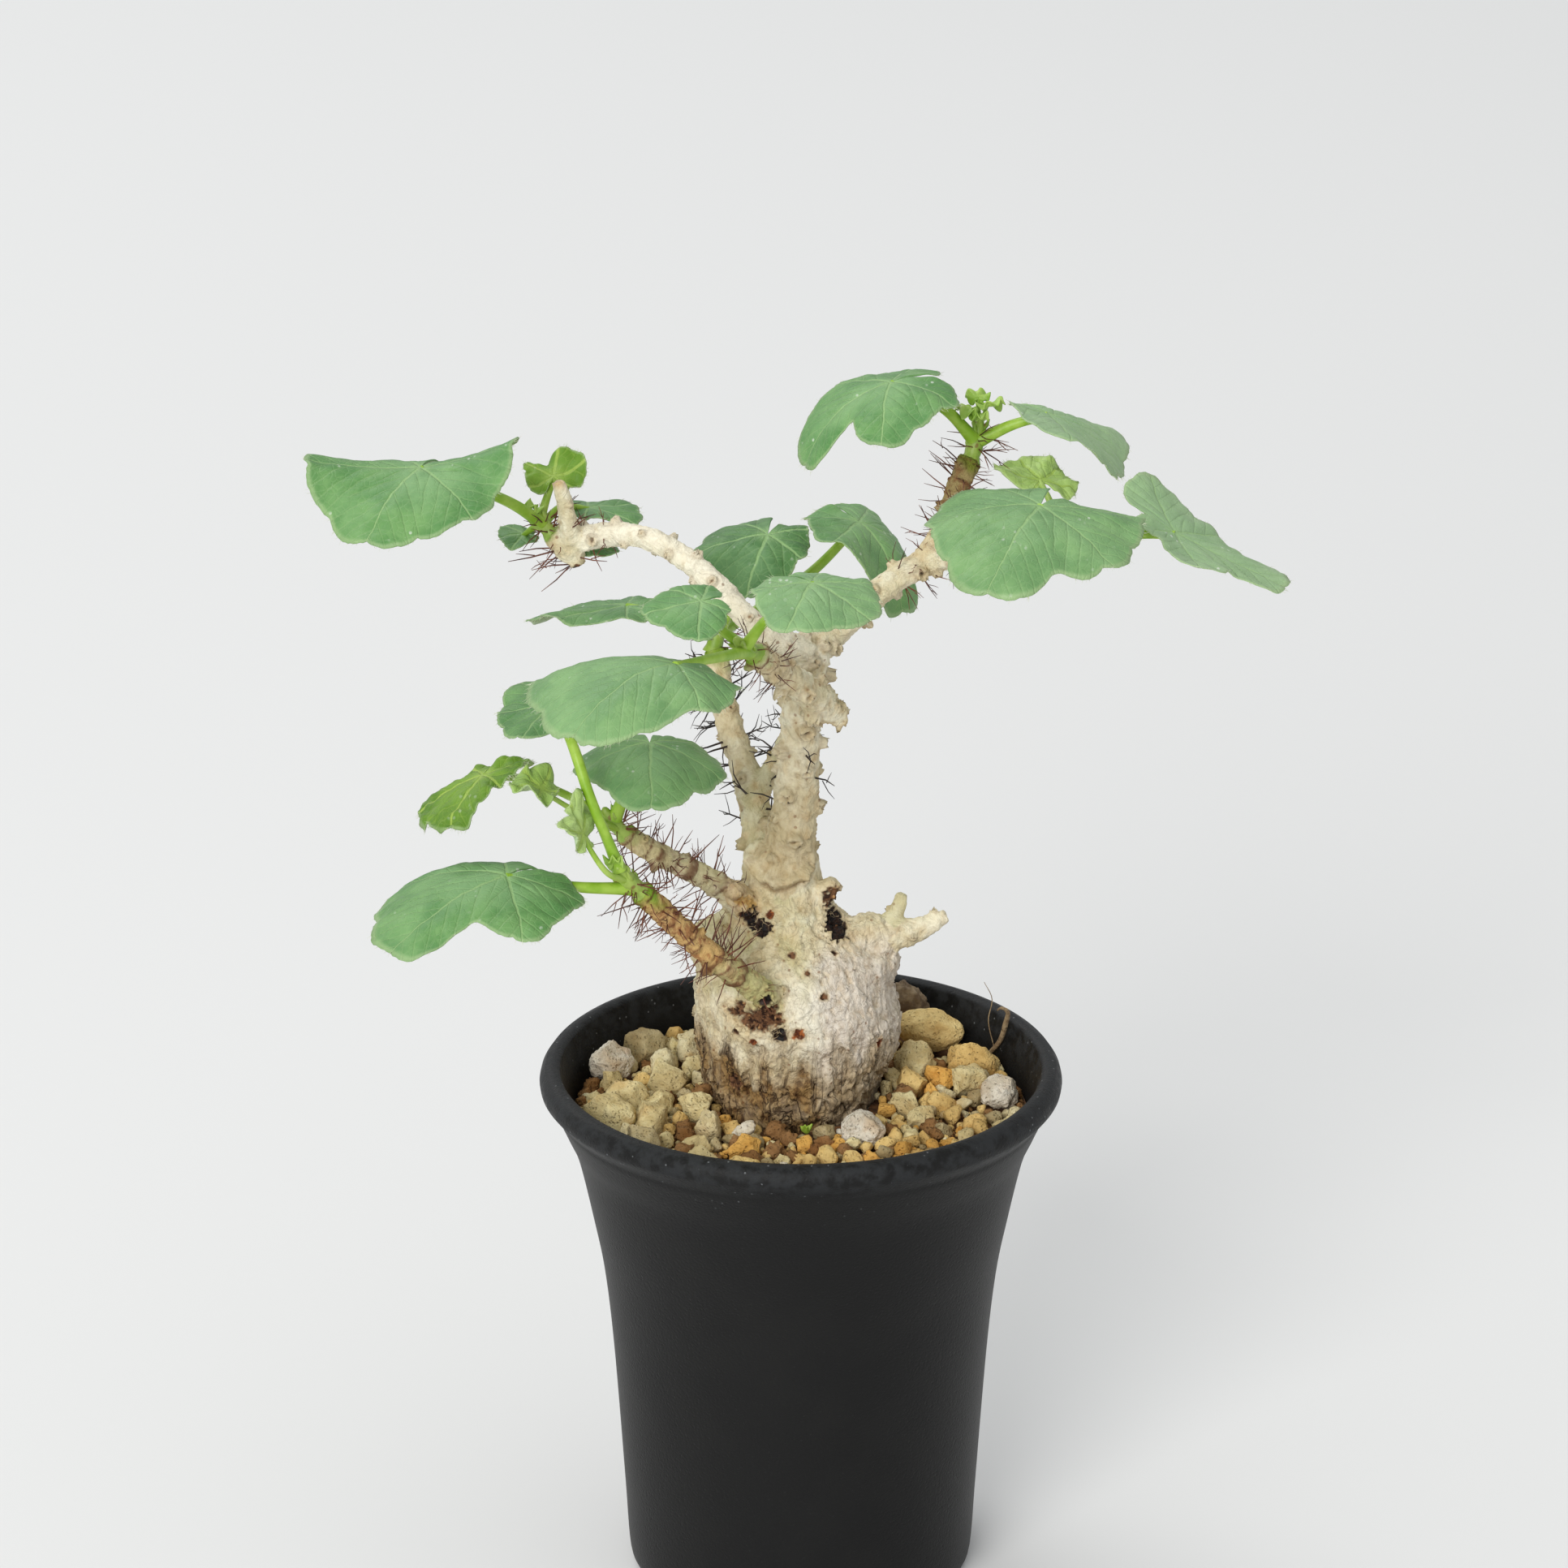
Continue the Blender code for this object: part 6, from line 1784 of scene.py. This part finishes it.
def blade(leaf, shade, young, folds=()):
    """The blade as a closed mesh: veins sunk above and raised below, with its flat map for the skin."""
    places, normals, flat, share = blade_sheet(leaf, young, folds)
    rings, steps = places.shape[0] - 1, places.shape[1] - 1
    main, branch, puff = vein_relief(flat)
    taper = 1 - 0.5 * share**3
    mound = 0.22 * puff * np.clip(share * 3, 0, 1) * (1 - share**4)
    over = BLADE_THICK / 2 * taper + mound - 0.10 * main - 0.05 * branch
    under = BLADE_THICK / 2 * taper - mound + (0.30 * main + 0.10 * branch) * (1 - 0.6 * share)
    sheets = [places + normals * over[..., None], places - normals * under[..., None]]
    points = []
    for sheet in sheets:
        points += [sheet[0, 0], *sheet[1:].reshape(-1, 3)]
    row = steps + 1
    below = 1 + rings * row

    def corner(ring, step, side):
        return side * below + (0 if ring == 0 else 1 + (ring - 1) * row + step)

    faces = []
    skins = []
    for side in (0, 1):
        for ring in range(rings):
            for step in range(steps):
                face = [corner(ring, step, side), corner(ring + 1, step, side)]
                face.append(corner(ring + 1, step + 1, side))
                if ring:
                    face.append(corner(ring, step + 1, side))
                faces.append(face[::-1] if side else face)
                skins.append(side)
    rim = [(ring, 0) for ring in range(rings + 1)] + [(rings, step) for step in range(1, steps + 1)]
    rim += [(ring, steps) for ring in range(rings - 1, -1, -1)]
    for (r1, s1), (r2, s2) in zip(rim, rim[1:]):
        faces.append([corner(r1, s1, 0), corner(r1, s1, 1), corner(r2, s2, 1), corner(r2, s2, 0)])
        skins.append(0)
    mesh = bpy.data.meshes.new("blade")
    mesh.from_pydata([tuple(point * MM) for point in points], [], faces)
    mesh.materials.append(None)
    mesh.materials.append(None)
    mesh.polygons.foreach_set("material_index", skins)
    flats = np.concatenate([flat[0, :1], flat[1:].reshape(-1, 2)] * 2)
    corners = np.empty(len(mesh.loops), int)
    mesh.loops.foreach_get("vertex_index", corners)
    mesh.uv_layers.new(name="flat").data.foreach_set("uv", flats[corners].ravel())
    shares = np.concatenate([[0.0], share[1:].ravel()] * 2)
    mesh.attributes.new("share", "FLOAT", "POINT").data.foreach_set("value", shares)
    mesh.attributes.new("shade", "FLOAT", "POINT").data.foreach_set("value", np.full(len(shares), shade))
    return mesh, places


def stalk(leaf):
    """The leaf stalk, swollen a little at both ends."""
    _, _, up = blade_frame(leaf)
    end = Vector(leaf.hub) - up * 0.35
    middle, _, radius = at(BUDS[leaf.bud], leaf.foot)
    target = Vector(leaf.via[0]) if leaf.via else end
    aim = (target - middle).normalized()
    foot = middle + aim * (radius - SOCKET - 0.6)
    arch = (foot + end) / 2 + Vector((0, 0, 0.05 * (end - foot).length))
    bends = [Vector(spot) for spot in leaf.via] or [arch]
    route = [(*foot, leaf.stalk * 1.2), *[(*spot, leaf.stalk) for spot in bends], (*end, leaf.stalk * 0.75)]
    spots = along(route, 1.0)
    last = len(spots) - 1
    swell = [1 + 0.22 * math.exp(-i / 2) + 0.15 * math.exp(-(last - i) / 2) for i in range(last + 1)]
    return [(*spot.xyz, spot.w * wide) for spot, wide in zip(spots, swell)]


def leaf_hairs(leaf, places, dense, draw):
    """Points for short hairs that stand out round the blade's edge."""
    rings, steps = places.shape[0] - 1, places.shape[1] - 1
    reach = max(leaf.veins)
    found = []
    for _ in range(int(reach * 5.5 * dense)):
        step = draw.randint(2, steps - 2)
        root = Vector(places[rings, step])
        out = (root - Vector(places[rings - 1, step])).normalized()
        sway = Vector((draw.gauss(0, 0.28), draw.gauss(0, 0.28), draw.gauss(0, 0.28)))
        length = draw.uniform(0.5, 1.15) * (0.75 if reach < LARGE_LEAF else 1.0)
        found.append((root - out * 0.15, (out + sway).normalized(), (0.75, 0.75, length), 0.0))
    return found


def leaves():
    """Every leaf as a blade on its stalk, and the hairs along the edges. Returns the blades as one tree."""
    green = (
        leaf_skin("leaf_upper"),
        leaf_skin("leaf_under"),
        soft_green("leaf_stalk", (0.23, 0.42, 0.02), (0.34, 0.52, 0.06), 0.0),
    )
    fresh = (
        leaf_skin("young_upper"),
        leaf_skin("young_under"),
        soft_green("young_stalk", (0.27, 0.44, 0.04), (0.38, 0.54, 0.10), 0.1),
    )
    draw = random.Random(HAIR_SEED)
    hairs = []
    corners = []
    faces = []
    for name, leaf in LEAVES.items():
        young = name in YOUNG
        mesh, places = blade(leaf, DEEPER.get(name, 0.0), young, FOLDS.get(name, ()))
        shape = bmesh.new()
        shape.from_mesh(mesh)
        start = len(corners)
        corners += [corner.co.copy() for corner in shape.verts]
        faces += [[start + corner.index for corner in face.verts] for face in shape.faces]
        blade_faces = len(shape.faces)
        shape.from_mesh(rods([stalk(leaf)], 12))
        shape.faces.ensure_lookup_table()
        for face in shape.faces[blade_faces:]:
            face.material_index = 2
        for face in shape.faces:
            face.smooth = True
        slot = "young_leaf" if young else "leaf_green"
        show(f"fine_{name}", from_bmesh(shape), fresh if young else green, slot, name)
        hairs += leaf_hairs(leaf, places, 3.0 if young else 1.0, draw)
    material = two_tone("pale_hair", (0.72, 0.76, 0.58), (0.52, 0.56, 0.38), 2.0)
    shapes = [single_hair(seed) for seed in range(4)]
    show("leaf_hairs", scatter(shapes, hairs, 6, material), [material], "leaf_green")
    return BVHTree.FromPolygons(corners, faces)


def buds():
    """The growing tips: a slim green tip with small pointed scales, and tiny folded leaves over some."""
    skins = (
        soft_green("bud_green", (0.20, 0.34, 0.03), (0.34, 0.46, 0.09), 0.7),
        soft_green("tip_leaf_green", (0.26, 0.44, 0.05), (0.42, 0.58, 0.13), 0.0),
    )
    draw = random.Random(BUD_SEED)
    for name, route in BUDS.items():
        line = along(route, 0.5)
        widths = [BUD_SLIM * spot.w * (1 + 0.10 * noise.noise(spot.xyz * 1.3)) for spot in line]
        routes = [[(*spot.xyz, width) for spot, width in zip(line, widths)]]
        back = (line[0].xyz - line[2].xyz).normalized()
        routes[0].insert(0, (*(line[0].xyz + back * 1.2), line[0].w))
        tip = line[-1].xyz
        ahead = (line[-1].xyz - line[-3].xyz).normalized()
        routes[0] += [(*(tip + ahead * 0.5), 0.55), (*(tip + ahead * 0.8), 0.2)]
        for index in range(BUD_SCALES):
            share = 0.30 + 0.70 * index / BUD_SCALES
            middle, way, radius = at(route, share)
            aim = sideways(way, index * GOLDEN_ANGLE)
            root = middle + aim * BUD_SLIM * radius * 0.6
            out = (aim * 0.45 + way).normalized()
            long = draw.uniform(1.6, 2.8)
            curve = root + out * long * 0.5 + aim * 0.2
            routes.append([(*root, 0.55), (*curve, 0.42), (*(root + out * long), 0.10)])
        shape = bmesh.new()
        shape.from_mesh(rods(routes, 10))
        stem = len(shape.faces)
        for hub, facing, reach in TIP_LEAVES.get(name, ()):
            veins = tuple(share * reach for share in (0.8, 1.1, 1.0, 1.1, 0.8))
            folded = Leaf(name, hub, facing, veins, (60, 160, 220, 160, 60), (), (0.45, 40))
            mesh, _ = blade(folded, -0.1, young=True)
            shape.from_mesh(mesh)
            shape.from_mesh(rods([[(*tip, 0.4), (*((tip + Vector(hub)) / 2), 0.32), (*hub, 0.3)]], 8))
        shape.faces.ensure_lookup_table()
        for face in shape.faces[:stem]:
            face.material_index = 0
        for face in shape.faces[stem:]:
            face.material_index = 1
        for face in shape.faces:
            face.smooth = True
        show(f"fine_{name}", from_bmesh(shape), skins, "bud_green", name)


def fibre():
    """A dry curled fibre against the pot's inner wall."""
    curl = (
        (33.0, 19.5, 87.0, 0.35), (35.0, 18.6, 90.0, 0.45), (35.9, 17.6, 93.6, 0.5),
        (36.2, 16.4, 96.4, 0.4), (35.0, 15.9, 97.4, 0.25), (34.4, 16.6, 96.6, 0.12),
    )
    wisp = (
        (34.0, 21.0, 88.0, 0.10), (33.0, 20.4, 93.0, 0.10), (33.6, 20.8, 97.0, 0.08),
        (32.2, 21.4, 100.0, 0.05),
    )
    routes = [[tuple(spot) for spot in along(route, 0.6)] for route in (curl, wisp)]
    material = dry_skin("dry_fibre", (0.16, 0.10, 0.05), (0.34, 0.25, 0.14), 1.5)
    show("dry_fibre", rods(routes, 8, material), [material], "bark_chip")


def sprout():
    """A tiny green sprout at the foot of the caudex."""
    draw = random.Random(2)
    routes = []
    for index in range(9):
        turn = index * GOLDEN_ANGLE
        root = Vector((0.9, -12.2, 86.2))
        out = Vector((math.cos(turn), math.sin(turn), draw.uniform(0.8, 1.6))).normalized()
        tip = root + out * draw.uniform(1.0, 1.9)
        routes.append([(*root, 0.35), (*((root + tip) / 2), 0.45), (*tip, 0.15)])
    material = soft_green("sprout_green", (0.20, 0.34, 0.02), (0.34, 0.48, 0.06), 0.0)
    show("sprout", rods(routes, 8, material), [material], "bud_green")


def studio():
    """A pale floor, soft lights and the camera at the photo's place."""
    mesh = bpy.data.meshes.new("floor")
    mesh.from_pydata([(-9, -9, 0), (9, -9, 0), (9, 9, 0), (-9, 9, 0)], [], [(0, 1, 2, 3)])
    floor = linked(mesh, "floor")
    material = bpy.data.materials.new("floor")
    material.use_nodes = True
    shader = material.node_tree.nodes["Principled BSDF"]
    shader.inputs["Base Color"].default_value = (0.75, 0.752, 0.745, 1)
    shader.inputs["Roughness"].default_value = 0.9
    shader.inputs["Specular IOR Level"].default_value = 0.1
    mesh.materials.append(material)

    world = bpy.data.worlds.new("studio")
    bpy.context.scene.world = world
    world.use_nodes = True
    sky = world.node_tree.nodes["Background"]
    sky.inputs["Color"].default_value = (0.97, 0.985, 1.0, 1)
    sky.inputs["Strength"].default_value = 0.66

    lights = (
        # name, place, aimed at, width, power, colour
        ("key", (-0.90, -2.30, 1.35), (0, 0, 0.10), 1.5, 52, (1.0, 0.99, 0.97)),
        ("top", (-1.1, 1.4, 2.1), (0, 0, 0.10), 1.8, 21, (1.0, 1.0, 1.0)),
    )
    for name, place, goal, width, power, colour in lights:
        lamp = bpy.data.lights.new(name, "AREA")
        lamp.shape = "DISK"
        lamp.size = width
        lamp.energy = power
        lamp.color = colour
        obj = bpy.data.objects.new(name, lamp)
        obj.location = place
        obj.rotation_euler = (Vector(goal) - Vector(place)).to_track_quat("-Z", "Y").to_euler()
        bpy.context.scene.collection.objects.link(obj)

    lens = bpy.data.cameras.new("camera")
    lens.lens = CAMERA_LENS
    lens.sensor_width = SENSOR
    camera = bpy.data.objects.new("camera", lens)
    camera.location = CAMERA_PLACE
    camera.rotation_euler = (math.radians(90 - CAMERA_PITCH), 0, 0)
    bpy.context.scene.collection.objects.link(camera)
    bpy.context.scene.camera = camera
    bpy.context.scene.view_settings.view_transform = "Standard"


for build in (speckle_group, mottle_group, grain_group, veins_group, rod_tree, scatter_tree):
    build()
pot()
gravel()
loose_stones()
wood()
blade_tree = leaves()
buds()
bristles(blade_tree)
fibre()
sprout()
studio()
